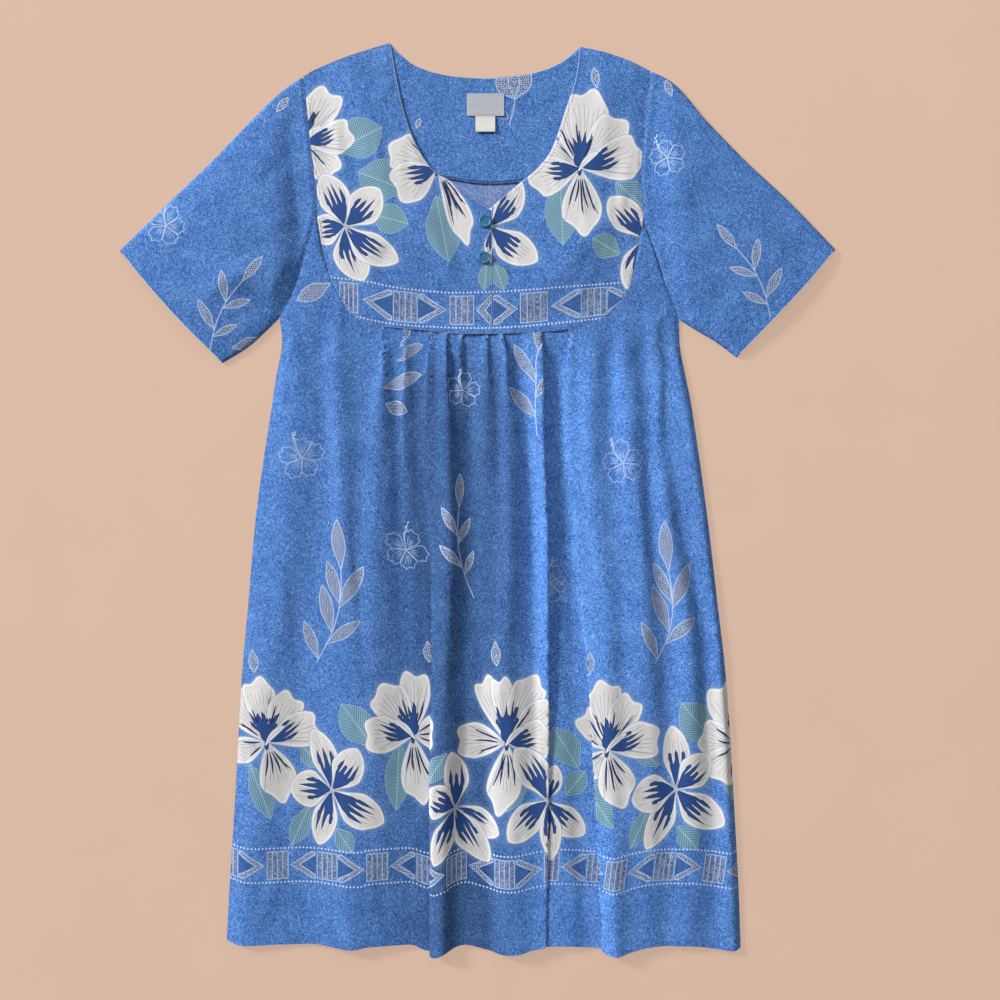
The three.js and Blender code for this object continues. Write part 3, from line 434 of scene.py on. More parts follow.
def print_at(x, y):
    """Print coordinates of the cloth that shows at a place of the plan."""
    q = y
    for _ in range(4):
        b = min(max((q - row_y[0]) / ROW, 0), len(rows) - 2)
        j = int(round(b))
        s, rx, rz, drop = rows[j]
        at = np.nonzero((rx[:-1] - x) * (rx[1:] - x) <= 0)[0]
        if len(at) == 0:
            i = 0 if x < rx[0] else len(rx) - 2
            p, d = (s[0] + x - rx[0], drop[0]) if x < rx[0] else (s[-1] + x - rx[-1], drop[-1])
        else:
            i = at[np.argmax(rz[at])]
            t = (x - rx[i]) / (rx[i + 1] - rx[i] + 1e-9)
            p, d = s[i] + (s[i + 1] - s[i]) * t, drop[i]
        q = y - float(hem_shift(d, q))
    return float(p), float(q)


# ------------------------------------------------------------------ yoke surface
def lap_rise(x):
    return LAP_RISE * smooth((x + 34) / 26)


YOKE_CREASES = (
    (-176, 470, -160, 380, 8, 1.0), (-186, 420, -168, 330, 7, -0.9), (-150, 330, -120, 268, 8, 1.0),
    (-128, 470, -112, 380, 8, 0.9), (-60, 330, -30, 270, 7, 0.8), (-140, 300, -84, 240, 7, -0.8),
    (-40, 262, -6, 220, 6, -0.6), (40, 330, 60, 250, 8, 0.7), (172, 470, 160, 390, 8, -0.9),
    (186, 430, 172, 340, 7, 0.9), (120, 400, 134, 320, 8, 0.8), (104, 300, 70, 246, 7, -0.7),
    (150, 300, 120, 244, 7, 0.8), (176, 330, 160, 268, 6, -0.8), (-102, 520, -128, 470, 6, 0.7),
    (130, 520, 148, 468, 6, -0.7),
)


def yoke_z(x, y):
    over = 1 - smooth((np.abs(x - 9) - 176) / 24)
    edge = mix(FRONT_EDGE_Z, NECK_Z, np.maximum(over, 0))
    within = smooth((y - yoke_edge_y(x) - 6) / 60)
    z = 4.0 * np.exp(-((np.abs(x - 9) - 108) / 46) ** 2) * np.exp(-((y - 345) / 120) ** 2) * within
    for x0, y0, x1, y1, half, rise in YOKE_FOLDS:
        z = z + rise * np.exp(-(across(x0, y0, x1, y1, x, y) / half) ** 2) * within
    clear = smooth((np.abs(x - FRONT_X + UNDERLAP / 2) - 16) / 30)
    return edge + np.maximum(z, 0) * clear


def yoke_lift(s, neck, rest):
    def lift(q):
        x, y = q[:, 0], q[:, 1]
        clear = smooth((np.abs(x - FRONT_X + UNDERLAP / 2) - 14) / 24)
        z = yoke_z(x, y) + (lap_rise(x) if s < 0 else 0)
        z = z + np.maximum(creases(YOKE_CREASES, x, y) + ripple(x, y, 31 + s, 0.9), -0.3) * (0.15 + 0.85 * clear)
        seam = to_line(q, edge_line)
        z = z + 1.7 * np.exp(-(np.maximum(seam - 1.5, 0) / 8) ** 2) * smooth((132 - np.abs(x - 3)) / 30) - 0.40 * np.exp(-(seam / 0.9) ** 2)
        z = z - 0.22 * np.exp(-((seam - 4.5) / 0.8) ** 2)
        dn = to_line(q, neck)
        z = z - 0.45 * np.exp(-(dn / 0.8) ** 2) - 0.25 * np.exp(-((dn - 4.2) / 0.9) ** 2)
        dr = to_line(q, rest)
        z = z - 0.8 * np.exp(-(dr / 1.6) ** 2) - 0.2 * np.exp(-((dr - 3.5) / 1.0) ** 2) * (1 + lattice(x, y, 5, 3))
        return np.stack([x, y, z + FACE], -1)
    return lift


# ------------------------------------------------------------------ sleeve surface
SLEEVE_CREASES = {
    -1: ((-224, 490, -262, 420, 9, 1.3), (-222, 430, -270, 380, 9, -1.2), (-214, 350, -262, 330, 9, 1.0),
         (-262, 300, -330, 250, 10, 1.2), (-246, 250, -300, 214, 8, -1.2), (-300, 400, -372, 330, 11, 1.0),
         (-330, 330, -392, 268, 10, -0.9), (-226, 300, -262, 236, 8, 1.2), (-350, 352, -404, 300, 7, 0.7)),
    1: ((222, 495, 262, 430, 9, -1.2), (220, 440, 280, 400, 9, 1.3), (212, 370, 266, 342, 9, -1.0),
        (250, 300, 320, 244, 10, -1.2), (246, 252, 306, 222, 8, 1.3), (296, 410, 372, 340, 11, 1.0),
        (330, 336, 396, 272, 10, 1.0), (228, 310, 258, 244, 8, -1.1), (352, 356, 410, 302, 7, -0.7)),
}


def sleeve_surface(s):
    top, under, hole, cuff = path(side(SLEEVE_TOP, s)), path(side(SLEEVE_UNDER, s)), path(side(ARMHOLE, s)), path(side(CUFF, s))
    plan = coons(top, under, hole, cuff)
    folds = []
    for f in SLEEVE_FOLDS:
        if f[0] == s:
            a, b = plan(f[1], f[2]), plan(f[3], f[4])
            folds.append((a[0], a[1], b[0], b[1], f[5], f[6]))
    gu, gv = np.meshgrid(np.linspace(-0.02, 1.02, 53), np.linspace(-0.02, 1.02, 53))
    gp = plan(gu, gv).reshape(-1, 2)
    gu, gv = gu.ravel(), gv.ravel()

    def unmap(q):
        u, v = np.zeros(len(q)), np.zeros(len(q))
        for c in range(0, len(q), 2000):
            d = ((q[c:c + 2000, None] - gp[None]) ** 2).sum(-1)
            i = d.argmin(1)
            u[c:c + 2000], v[c:c + 2000] = gu[i], gv[i]
        for _ in range(4):
            e = 1e-3
            p0 = plan(u, v)
            pu, pv = (plan(u + e, v) - p0) / e, (plan(u, v + e) - p0) / e
            r = q - p0
            det = pu[:, 0] * pv[:, 1] - pu[:, 1] * pv[:, 0]
            det = np.where(np.abs(det) < 1e-6, 1e-6, det)
            u = np.clip(u + np.clip((r[:, 0] * pv[:, 1] - r[:, 1] * pv[:, 0]) / det, -0.1, 0.1), -0.03, 1.03)
            v = np.clip(v + np.clip((pu[:, 0] * r[:, 1] - pu[:, 1] * r[:, 0]) / det, -0.1, 0.1), -0.03, 1.03)
        return u, v

    def lift(q):
        u, v = unmap(q)
        x, y = q[:, 0], q[:, 1]
        arch = np.sqrt(np.maximum(0, np.sin(np.pi * np.clip(v, 0, 1))))
        wide = smooth(u / 0.3) * mix(1, 0.8, smooth((u - 0.6) / 0.4))
        z = 9.0 * arch * wide
        for x0, y0, x1, y1, half, rise in folds:
            z = z + rise * np.exp(-(across(x0, y0, x1, y1, x, y) / half) ** 2) * smooth(u / 0.08) * arch
        z = np.maximum(z, 0) + (creases(SLEEVE_CREASES[s], x, y) + ripple(x, y, 51 + s, 0.9)) * arch * (0.4 + 0.6 * smooth(u / 0.1))
        z = FRONT_EDGE_Z + 0.3 + np.maximum(z, 0)
        arm = to_line(q, hole_line)
        z = z - 0.9 * np.exp(-(arm / 1.8) ** 2) + 0.5 * np.exp(-((arm - 5.5) / 2.6) ** 2) * (1 + 0.5 * lattice(x, y, 7, 5))
        end = to_line(q, cuff_line)
        z = z - 0.3 * np.exp(-((end - 14) / 1.2) ** 2) + 0.22 * smooth((13 - end) / 2)
        return np.stack([x, y, z + FACE], -1)
    hole_line, cuff_line = hole(np.linspace(0, 1, 60)), cuff(np.linspace(0, 1, 40))
    return plan, top, under, hole, cuff, lift


# ------------------------------------------------------------------ inks
INKS = {
    "petal": (243, 242, 241), "petal_in": (228, 226, 225), "petal_rim": (186, 200, 226), "throat": (44, 80, 146), "dark": (33, 50, 92),
    "vein": (158, 156, 166), "shadow": (178, 184, 200), "leaf": (98, 144, 166), "leaf_green": (106, 156, 154),
    "leaf_rim": (160, 196, 214), "line": (196, 214, 246), "speck": (204, 218, 244), "pale": (182, 202, 238),
    # edge: pale line along made edges, pale thread with a painted highlight of the rolled edge
    "deep": (46, 84, 150), "dot": (208, 226, 255), "edge": (196, 208, 234),
}


def linear(c):
    c = np.asarray(c, float) / 255
    return np.where(c <= 0.04045, c / 12.92, ((c + 0.055) / 1.055) ** 2.4)


INKS = {k: linear(v) for k, v in INKS.items()}
PLAIN, LEAF, SPECK, SCRIBBLE = 0, 1, 2, 3


class Print:
    """Printed shapes of one piece of cloth, in its flat coordinates, in the order they are laid."""

    def __init__(self):
        self.items = []
        self.flowers = []

    def add(self, loops, ink, cover=1.0, mode=PLAIN, frame=(0.0, 0.0, 0.0), fade=None):
        loops = [np.asarray(l, float) for l in (loops if isinstance(loops, list) else [loops])]
        self.items.append(dict(loops=loops, ink=INKS[ink], cover=cover, mode=mode, frame=frame, fade=fade,
                               low=np.min([l.min(0) for l in loops], 0), high=np.max([l.max(0) for l in loops], 0)))


def turn(points, angle, at=(0.0, 0.0)):
    c, s = math.cos(angle), math.sin(angle)
    p = np.asarray(points, float)
    return np.stack([p[:, 0] * c - p[:, 1] * s + at[0], p[:, 0] * s + p[:, 1] * c + at[1]], -1)


def grown(loop, by):
    """The loop moved outward by that much, or inward."""
    a, b = np.roll(loop, 1, 0), np.roll(loop, -1, 0)
    t = b - a
    n = np.stack([t[:, 1], -t[:, 0]], -1) / (np.hypot(*t.T)[:, None] + 1e-9)
    area = np.sum(loop[:, 0] * np.roll(loop[:, 1], -1) - loop[:, 1] * np.roll(loop[:, 0], -1))
    return loop + n * (by if area > 0 else -by)


def ribbon(line, width, taper=False):
    """A strip along an open line."""
    p = np.asarray(line, float)
    t = np.gradient(p, axis=0)
    n = np.stack([-t[:, 1], t[:, 0]], -1) / (np.hypot(*t.T)[:, None] + 1e-9)
    w = np.full(len(p), width / 2.0)
    if taper:
        w = w * np.sqrt(np.clip(np.sin(np.pi * (0.04 + 0.92 * np.linspace(0, 1, len(p)))), 0.05, 1))
    return np.vstack([p + n * w[:, None], (p - n * w[:, None])[::-1]])


def petal(at, angle, long, wide, base=0.1, tip=0.0, ruffle=0.0, waves=5, bend=0.0, phase=0.0, full=0.62):
    """Outline of one petal: narrow at the base, widest past the middle."""
    n = max(10, int((2 * long + wide) / 2 / 2.4))
    th = np.linspace(0, math.pi, n)
    x = 0.5 * (1 - np.cos(th))
    g = base + (1 - base) * smooth(x / full)
    y = np.sin(th) ** (0.85 + 0.75 * tip * x) * g
    y = y / y.max() * wide / 2
    up = np.stack([x * long, y], -1)
    dn = np.stack([x * long, -y * 0.96], -1)[::-1][1:-1]
    p = np.vstack([up, dn])
    if ruffle:
        k = 1 + ruffle * np.sin(np.arange(len(p)) / len(p) * 2 * math.pi * waves + phase) * smooth((p[:, 0] / long - 0.35) / 0.4)
        p = p * k[:, None]
    return turn(bent(p, bend, long), angle, at)


def bent(p, bend, long):
    a = bend * (np.maximum(p[:, 0], 0) / long) ** 1.5
    return np.stack([p[:, 0] * np.cos(a) - p[:, 1] * np.sin(a), p[:, 0] * np.sin(a) + p[:, 1] * np.cos(a)], -1)


def ray(at, angle, r0, r1, off0=0.0, off1=0.0, bow=0.0, n=8, bend=0.0, long=1.0):
    """A line from near the heart of a flower outward, bent as its petal is."""
    t = np.linspace(0, 1, n)
    x = mix(r0, r1, t)
    y = mix(off0, off1, t) + bow * np.sin(math.pi * t)
    return turn(bent(np.stack([x, y], -1), bend, long), angle, at)


def fan(at, angle, long, wide, bend=0.0, lobes=3.0, ruffle=0.03, phase=0.0, point=0.0):
    """Outline of a broad petal, from its foot round a ruffled end."""
    half = math.asin(min(0.95, wide / (1.72 * long))) / 0.80
    t = np.cos(np.linspace(0, math.pi, max(16, int((2 * long + wide) / 2.6))))[:-1]
    r = (1 - np.abs(t) ** 3.0) ** 0.44
    r = r * (1 + ruffle * np.sin(lobes * math.pi * (t + 1) + phase) * smooth((r - 0.7) / 0.2))
    r = r * (1 + point * np.exp(-(t / 0.20) ** 2)) / (1 + 0.5 * point) * long
    return turn(bent(np.stack([r * np.cos(t * half), r * np.sin(t * half)], -1), bend, long), angle, at)


def flame(at, angle, long, wide, fingers, rng, bend=0.0):
    """Blue tongue inside a petal, ending in uneven fingers."""
    w = wide / 2
    left = [(0.06 * long, 0.05 * w), (0.20 * long, 0.46 * w), (0.34 * long, 0.84 * w), (0.44 * long, 0.92 * w)]
    right = [(0.42 * long, -0.92 * w), (0.32 * long, -0.84 * w), (0.18 * long, -0.46 * w), (0.06 * long, -0.05 * w)]
    mid = []
    ys = np.linspace(0.92, -0.92, fingers) * w
    for i, y in enumerate(ys):
        tip = (0.70 + 0.16 * rng.uniform(-0.6, 1) - 0.07 * abs(y / w)) * long
        half = 0.36 * w / fingers
        hook = rng.uniform(-0.9, 0.9)
        mid += [(0.47 * long, y + half * 1.5), (0.58 * long, y + half + hook * 0.6), (tip, y + hook), (0.57 * long, y - half + hook * 0.6), (0.45 * long, y - half * 1.5)]
        if i < fingers - 1:
            mid.append(((0.36 + 0.06 * rng.uniform(-1, 1)) * long, (y + ys[i + 1]) / 2))
    return turn(bent(np.array(left + mid + right), bend, long), angle, at)


def plumeria(pr, x, y, petals, seed, small=False):
    """Five petals about (x, y); each row is angle in degrees, length, width."""
    rng = np.random.default_rng(seed)
    at = (x, y)
    for deg, long, wide in petals:
        a = math.radians(deg)
        bend = rng.uniform(-0.12, 0.12)
        bend = bend + 0.10
        shape = petal(at, a, long, wide * 1.08, base=0.30, tip=0.7, bend=bend, full=0.50)
        pr.flowers.append(shape)
        pr.add(grown(shape, 0.7), "petal_rim", 0.6)
        pr.add(shape, "petal", fade=(x, y, 12.0, "shadow", 0.8))
        pr.add(grown(shape, -2.3), "petal_in", 1.0, fade=(x, y, 14.0, "shadow", 0.7))
        pr.add(ribbon(ray(at, a, 3, long * 0.62, -0.6, -wide * 0.40, -1.6, 9, bend, long), 1.5, True), "shadow", 1.0)
        for o in (-0.40, -0.18, 0.05, 0.24, 0.42):
            if long > 40:
                pr.add(ribbon(ray(at, a, long * 0.50, long * rng.uniform(0.74, 0.88), wide * 0.62 * o, wide * 0.52 * o, rng.uniform(-0.8, 0.8), 7, bend, long), 0.5), "vein", 1.0)
        if long > 20:
            count = 3 if wide < 32 else 4
            core = flame(at, a, long * 0.97, wide * 0.57, count, np.random.default_rng(int(rng.integers(1, 9999))), bend)
            pr.add(grown(core, 0.95), "dark", 0.95)
            pr.add(core, "throat")
    if not small:
        for i in range(5):
            a = math.radians(petals[i][0] + 36)
            pr.add(ribbon(ray(at, a, 1, 13, n=5), 1.6, True), "shadow", 1.0)


def hibiscus(pr, x, y, size, lean, petals, seed, tongue=1):
    """Broad ruffled petals about a blue throat; rows are angle, length, width, and
    number of dark streaks. The size and lean apply to all."""
    rng = np.random.default_rng(seed)
    at = (x, y)
    for deg, long, wide, streaks in petals:
        a = math.radians(deg + lean)
        long, wide = long * size, wide * size
        pointed = deg < -60 and deg > -120
        bend = rng.uniform(-0.10, 0.10)
        wide = wide * (1.22 if pointed else 1.34)
        shape = fan(at, a, long, wide, bend, 2.0 if pointed else 2.6, 0.02 if pointed else 0.048, rng.uniform(0, 6), 0.16 if pointed else 0.0)
        pr.flowers.append(shape)
        pr.add(grown(shape, 0.8), "petal_rim", 0.8)
        pr.add(shape, "petal", fade=(x, y, 18.0 * size, "shadow", 0.5))
        pr.add(grown(shape, -2.5), "petal_in", 1.0, fade=(x, y, 20.0 * size, "shadow", 0.5))
        pr.add(ribbon(ray(at, a, 6, long * 0.84, -1.0, -wide * 0.36, -1.2, 9, bend, long), 1.4, True), "shadow", 1.0)
        for k in range(7):
            o = (k - 3) / 3.4
            end = (0.90 - 0.12 * abs(o)) * rng.uniform(0.86, 1.0) * (0.86 if pointed else 1)
            pr.add(ribbon(ray(at, a, long * 0.30, long * end, wide * 0.10 * o, wide * (0.30 if pointed else 0.38) * o, rng.uniform(-1, 1), 9, bend, long), 0.55), "vein", 1.0)
        if streaks == 4 and not pointed:
            core = flame(at, a + rng.uniform(-0.05, 0.05), long * 0.90, wide * 0.36, 4, np.random.default_rng(int(rng.integers(1, 9999))), bend + (0.28 if 90 > deg > -90 else -0.28))
            pr.add(grown(core, 1.0), "dark", 0.95)
            pr.add(core, "throat")
            continue
        for k in range(streaks):
            o = (k - (streaks - 1) / 2) / max(1, streaks - 1) * 2
            r1 = long * rng.uniform(0.50, 0.70)
            pr.add(ribbon(ray(at, a, long * 0.18, r1, wide * 0.07 * o, wide * 0.25 * o, rng.uniform(-1.5, 1.5), 9, bend, long), 2.3 * size, True), "dark")
            if rng.uniform() > 0.45:
                pr.add(ribbon(ray(at, a, r1 * 0.72, r1 * 1.08, wide * 0.17 * o, wide * 0.30 * o + 1.4, 0, 5, bend, long), 1.3 * size, True), "dark")
    # throat: a blue pool with fingers into the upper petals and a point below
    ang = np.linspace(0, 2 * math.pi, 110, endpoint=False)
    r = 6.0 * size + 3.0 * size * np.maximum(0, np.sin(ang - math.radians(lean)))
    near_ = lambda a, w: np.exp(-(np.angle(np.exp(1j * (ang - a))) / w) ** 2)
    upper = [p for p in petals if 55 < p[0] < 135]
    for deg, long, wide, streaks in upper:
        r = np.maximum(r, 0.26 * long * size * near_(math.radians(deg + lean), 0.42))
        for o, reach in ((-0.22, 0.34), (0.0, 0.46), (0.24, 0.38)):
            r = np.maximum(r, reach * long * size * (0.85 + 0.3 * rng.uniform()) * near_(math.radians(deg + lean) + o, 0.075))
    r = np.maximum(r, 17 * size * near_(math.radians(-92 + lean), 0.20))
    r = np.minimum(r, 38 * size)
    core = turn(np.stack([r * np.cos(ang), r * np.sin(ang) + 8 * size], -1), math.radians(lean) * 0.5, at)
    pr.add(grown(core, 1.2), "dark")
    pr.add(core, "throat")
    # rolled tongue of the side petal, laid over the throat
    a = math.radians(58 if tongue > 0 else 122) + math.radians(lean)
    foot = (x - 2.0 * tongue, y - 4.0 * size)
    pr.add(petal(foot, a, 34 * size, 8.0 * size, base=0.55, tip=0.2, bend=-0.25 * tongue), "petal_rim")
    pr.add(petal(foot, a, 33 * size, 6.4 * size, base=0.55, tip=0.2, bend=-0.25 * tongue), "petal")
    pr.add(ribbon(ray(foot, a, 5, 28 * size, 0, 0, 0, 7, -0.25 * tongue, 33 * size), 0.6), "vein", 0.9)


def leaf(pr, x0, y0, x1, y1, wide, green=0.0):
    """A veined leaf from its foot to its tip."""
    long = math.hypot(x1 - x0, y1 - y0)
    a = math.atan2(y1 - y0, x1 - x0)
    shape = petal((x0, y0), a, long, wide * 1.06, base=0.5, tip=1.75, full=0.42)
    pr.add(shape, "leaf_rim", 0.75)
    pr.add(grown(shape, -0.8), "leaf", 0.92, LEAF, (x0, y0, a), fade=(x0, y0, long * (0.25 + 0.7 * green), "leaf_green", 0.3 + 0.6 * green))


def outline_flower(pr, x, y, size, turn_deg, seed):
    """A hibiscus drawn in thin line only, with a dotted stamen."""
    rng = np.random.default_rng(seed)
    for k in range(5):
        a = math.radians(turn_deg + 72 * k + rng.uniform(-6, 6))
        shape = petal((x, y), a, size * rng.uniform(0.88, 1.05), size * 0.82, base=0.22, ruffle=0.07, waves=8, phase=rng.uniform(0, 6), full=0.7)
        pr.add([shape, grown(shape, -0.95)], "line", 0.80)
        for o in (-0.22, 0.0, 0.22):
            pr.add(ribbon(ray((x, y), a + o, size * 0.22, size * rng.uniform(0.5, 0.7), n=6), 0.9, True), "line", 0.75)
    a = math.radians(turn_deg + 18)
    line = ray((x, y), a, 2, size * 1.25, 0, 0, 2.5, n=12)
    pr.add(ribbon(line, 1.1), "line", 0.8)
    for k in range(9):
        p = line[-1 - (k % 5)] + rng.uniform(-2.2, 2.2, 2)
        dots(pr, [p], 0.95)


def sprig(pr, x, y, tall, lean, leaves, flip=1, wide=0.29):
    """A curved stem with stippled leaves; rows are place along the stem, angle from it, length."""
    t = np.linspace(0, 1, 24)
    stem = turn(np.stack([t * tall, flip * 0.10 * tall * np.sin(math.pi * t * 0.9)], -1), math.radians(lean), (x, y))
    pr.add(ribbon(stem, 1.3), "line", 0.8)
    tangent = np.gradient(stem, axis=0)
    for place, deg, long in leaves:
        i = min(int(place * 23), 23)
        base = math.atan2(tangent[i][1], tangent[i][0]) + flip * math.radians(deg)
        speckled(pr, stem[i], base, long, long * wide)


def speckled(pr, at, angle, long, wide):
    shape = petal(at, angle, long, wide, base=0.42, tip=1.4, full=0.45)
    pr.add(shape, "line", 0.9)
    pr.add(grown(shape, -1.0), "speck", 0.92, SPECK, (at[0], at[1], angle))


def dots(pr, places, radius):
    a = np.linspace(0, 2 * math.pi, 7, endpoint=False)
    for p in places:
        pr.add(np.stack([p[0] + radius * np.cos(a), p[1] + radius * np.sin(a)], -1), "dot", 0.95)


def band(pr, elements, mid, half, low=None, high=None, step=4.4):
    """A border of bars and chevrons between two rows of dots. Elements are kind, from, to;
    mid and half give the line and half height of the border at x."""
    def place(points):
        p = np.asarray(points, float)
        return np.stack([p[:, 0], mid(p[:, 0]) + p[:, 1] * half(p[:, 0])], -1)
    for kind, x0, x1 in elements:
        if kind == "bars":
            box = spaced([(x0, -1), (x1, -1), (x1, 1), (x0, 1)], 3.0, True)
            pr.add(place(box), "line", 0.80)
            gap = 1.1
            h = half(np.array([(x0 + x1) / 2]))[0]
            n = 3 if x1 - x0 < 22 else 4
            if x1 - x0 < 12:
                n = 2
            w = (x1 - x0 - gap) / n
            for i in range(n):
                a, b = x0 + gap + i * w, x0 + (i + 1) * w
                box = spaced([(a, -1 + gap / h), (b, -1 + gap / h), (b, 1 - gap / h), (a, 1 - gap / h)], 4.0, True)
                pr.add(place(box), "pale", 0.9, SCRIBBLE, (a, 0.0, 0.0))
        else:
            apex, back = (x0, x1) if kind == "left" else (x1, x0)
            way = 1.0 if back > apex else -1.0
            h = half(np.array([(x0 + x1) / 2]))[0]
            a = [(apex, 0), (back - way * 4.5, 1.0), (back, 0.95), (back, 0.70), (apex + way * 12.0, 0), (back, -0.70), (back, -0.95), (back - way * 4.5, -1.0)]
            pr.add(place(spaced(a, 3.0, True)), "line", 0.88)
            b = [(apex + way * 1.9, 0), (back - way * 4.4, 1 - 1.3 / h), (back - way * 1.1, 0.86), (back - way * 1.1, 0.76), (apex + way * 10.2, 0), (back - way * 1.1, -0.76), (back - way * 1.1, -0.86), (back - way * 4.4, -1 + 1.3 / h)]
            pr.add(place(spaced(b, 3.0, True)), "speck", 0.9, SPECK, (x0, 0.0, 0.6))
            c = [(apex + way * 13.4, 0), (back, 0.66), (back, -0.66)]
            pr.add(place(spaced(c, 3.0, True)), "deep", 0.62)


def dot_row(pr, x0, x1, y_at, step=4.5, radius=1.28, skip=()):
    xs = np.arange(x0, x1, step)
    keep = [not any(a < x < b for a, b in skip) for x in xs]
    dots(pr, np.stack([xs, y_at(xs)], -1)[keep], radius)


# ------------------------------------------------------------------ mesh from a printed plan
def sheet_mesh(outline, pr, free, clear=1.1):
    """Triangles of the plan inside the outline that follow every printed edge. Gives points,
    triangles and the printed item on each triangle (-1 for the ground)."""
    loops = [outline] + [l for it in pr.items for l in it["loops"]]
    low, high = outline.min(0) - 3, outline.max(0) + 3
    fixed, edges = [], []
    for loop in loops:
        if (loop.max(0) < low).any() or (loop.min(0) > high).any():
            continue
        s = len(fixed)
        n = len(loop)
        fixed += loop.tolist()
        edges += [(s + i, s + (i + 1) % n) for i in range(n)]
    fixed = np.array(fixed)
    cell = lambda p, o: set(map(tuple, np.floor((p + o) / clear).astype(int)))
    taken = cell(fixed, 0.0)
    base = np.floor(free / clear).astype(int)
    keep = np.ones(len(free), bool)
    for dx in (-1, 0, 1):
        for dy in (-1, 0, 1):
            keep &= np.array([(a + dx, b + dy) not in taken for a, b in base])
    free = free[keep]
    free = free[inside(free, [outline])]
    pts = np.vstack([fixed, free])
    out = delaunay_2d_cdt([Vector((float(a), float(b))) for a, b in pts], edges, [], 0, 1e-4, False)
    verts = np.array([(v.x, v.y) for v in out[0]])
    tris = np.array([f for f in out[2] if len(f) == 3])
    mid = verts[tris].mean(1)
    area = np.abs(np.cross(verts[tris[:, 1]] - verts[tris[:, 0]], verts[tris[:, 2]] - verts[tris[:, 0]]))
    keep = inside(mid, [outline]) & (area > 1e-5)
    tris, mid = tris[keep], mid[keep]
    used = np.unique(tris)
    new = np.full(len(verts), -1)
    new[used] = np.arange(len(used))
    verts, tris = verts[used], new[tris]
    a, b, c = verts[tris[:, 0]], verts[tris[:, 1]], verts[tris[:, 2]]
    back = np.cross(b - a, c - a) < 0
    tris[back] = tris[back][:, ::-1]
    item = np.full(len(tris), -1)
    for i, it in enumerate(pr.items):
        near = np.nonzero((mid[:, 0] > it["low"][0]) & (mid[:, 0] < it["high"][0]) & (mid[:, 1] > it["low"][1]) & (mid[:, 1] < it["high"][1]))[0]
        if len(near):
            item[near[inside(mid[near], it["loops"])]] = i
    return verts, tris, item


def net(low, high, dx, dy):
    """Staggered rows of free points."""
    out = []
    for j, y in enumerate(np.arange(low[1], high[1], dy)):
        xs = np.arange(low[0] + (dx / 2 if j % 2 else 0), high[0], dx)
        out.append(np.stack([xs, np.full(len(xs), y)], -1))
    return np.vstack(out)


def rings(outline, *steps):
    """Free points just inside an outline."""
    line = spaced(outline, 3.0, True)
    out = []
    for d in steps:
        r = grown(line, -d)
        out.append(r)
    return np.vstack(out)


def halo_field(verts, pr):
    """How near each point is to a white flower, 1 at its edge."""
    if not pr.flowers:
        return np.zeros(len(verts))
    edge = np.vstack([spaced(f, 3.0, True) for f in pr.flowers])
    best = np.full(len(verts), 1e9)
    low, high = edge.min(0) - 12, edge.max(0) + 12
    near = np.nonzero(((verts > low) & (verts < high)).all(1))[0]
    for s in range(0, len(near), 1500):
        i = near[s:s + 1500]
        best[i] = np.sqrt(((verts[i][:, None] - edge[None]) ** 2).sum(-1).min(1))
    return np.exp(-(best / 4.2) ** 2)


def halo_points(pr, step=3.4):
    return np.vstack([grown(spaced(f, step, True), d) for f in pr.flowers for d in (2.6, 5.6)]) if pr.flowers else np.zeros((0, 2))


# ------------------------------------------------------------------ what is printed where
SCALE = 1.22                      # millimetres for one dot of the picture


def at(px, py):
    """Plan millimetres of a place in the picture."""
    return (px - 477.5) * SCALE, (499.75 - py) * SCALE


def sk(px, py):
    return print_at(*at(px, py))


# flowers: centre in the picture, then rows of angle, length, width (and dark streaks)
HIBISCUS_HEM = (
    (267, 742, 1, ((128, 70, 34, 2), (97, 77, 34, 2), (60, 66, 34, 2), (22, 66, 38, 4), (198, 46, 28, 2), (-73, 70, 46, 4))),
    (413, 736, -1, ((84, 76, 34, 2), (122, 70, 40, 2), (176, 58, 40, 4), (8, 46, 38, 3), (-88, 78, 42, 4))),
    (507, 742, 1, ((112, 82, 28, 1), (92, 78, 26, 2), (70, 86, 36, 2), (40, 70, 34, 2), (8, 56, 40, 4), (178, 62, 38, 3), (-92, 78, 44, 4))),
    (607, 749, 1, ((141, 66, 36, 2), (97, 82, 36, 2), (66, 68, 34, 2), (18, 64, 40, 4), (232, 40, 26, 2), (-72, 66, 46, 4))),
    (738, 744, -1, ((112, 76, 40, 1), (172, 50, 38, 3), (236, 50, 40, 2))),
)
PLUMERIA_HEM = (
    (332, 790, ((97, 76, 30), (48, 60, 38), (-38, 74, 38), (-107, 68, 29), (177, 52, 42))),
    (455, 807, ((82, 66, 30), (152, 44, 36), (-116, 64, 28), (-33, 62, 32), (-66, 74, 35))),
    (548, 800, ((113, 74, 38), (62, 44, 22), (-50, 64, 34), (-83, 72, 29), (-144, 64, 36))),
    (676, 789, ((90, 77, 31), (43, 56, 38), (-44, 75, 38), (-113, 75, 31), (186, 55, 42))),
)
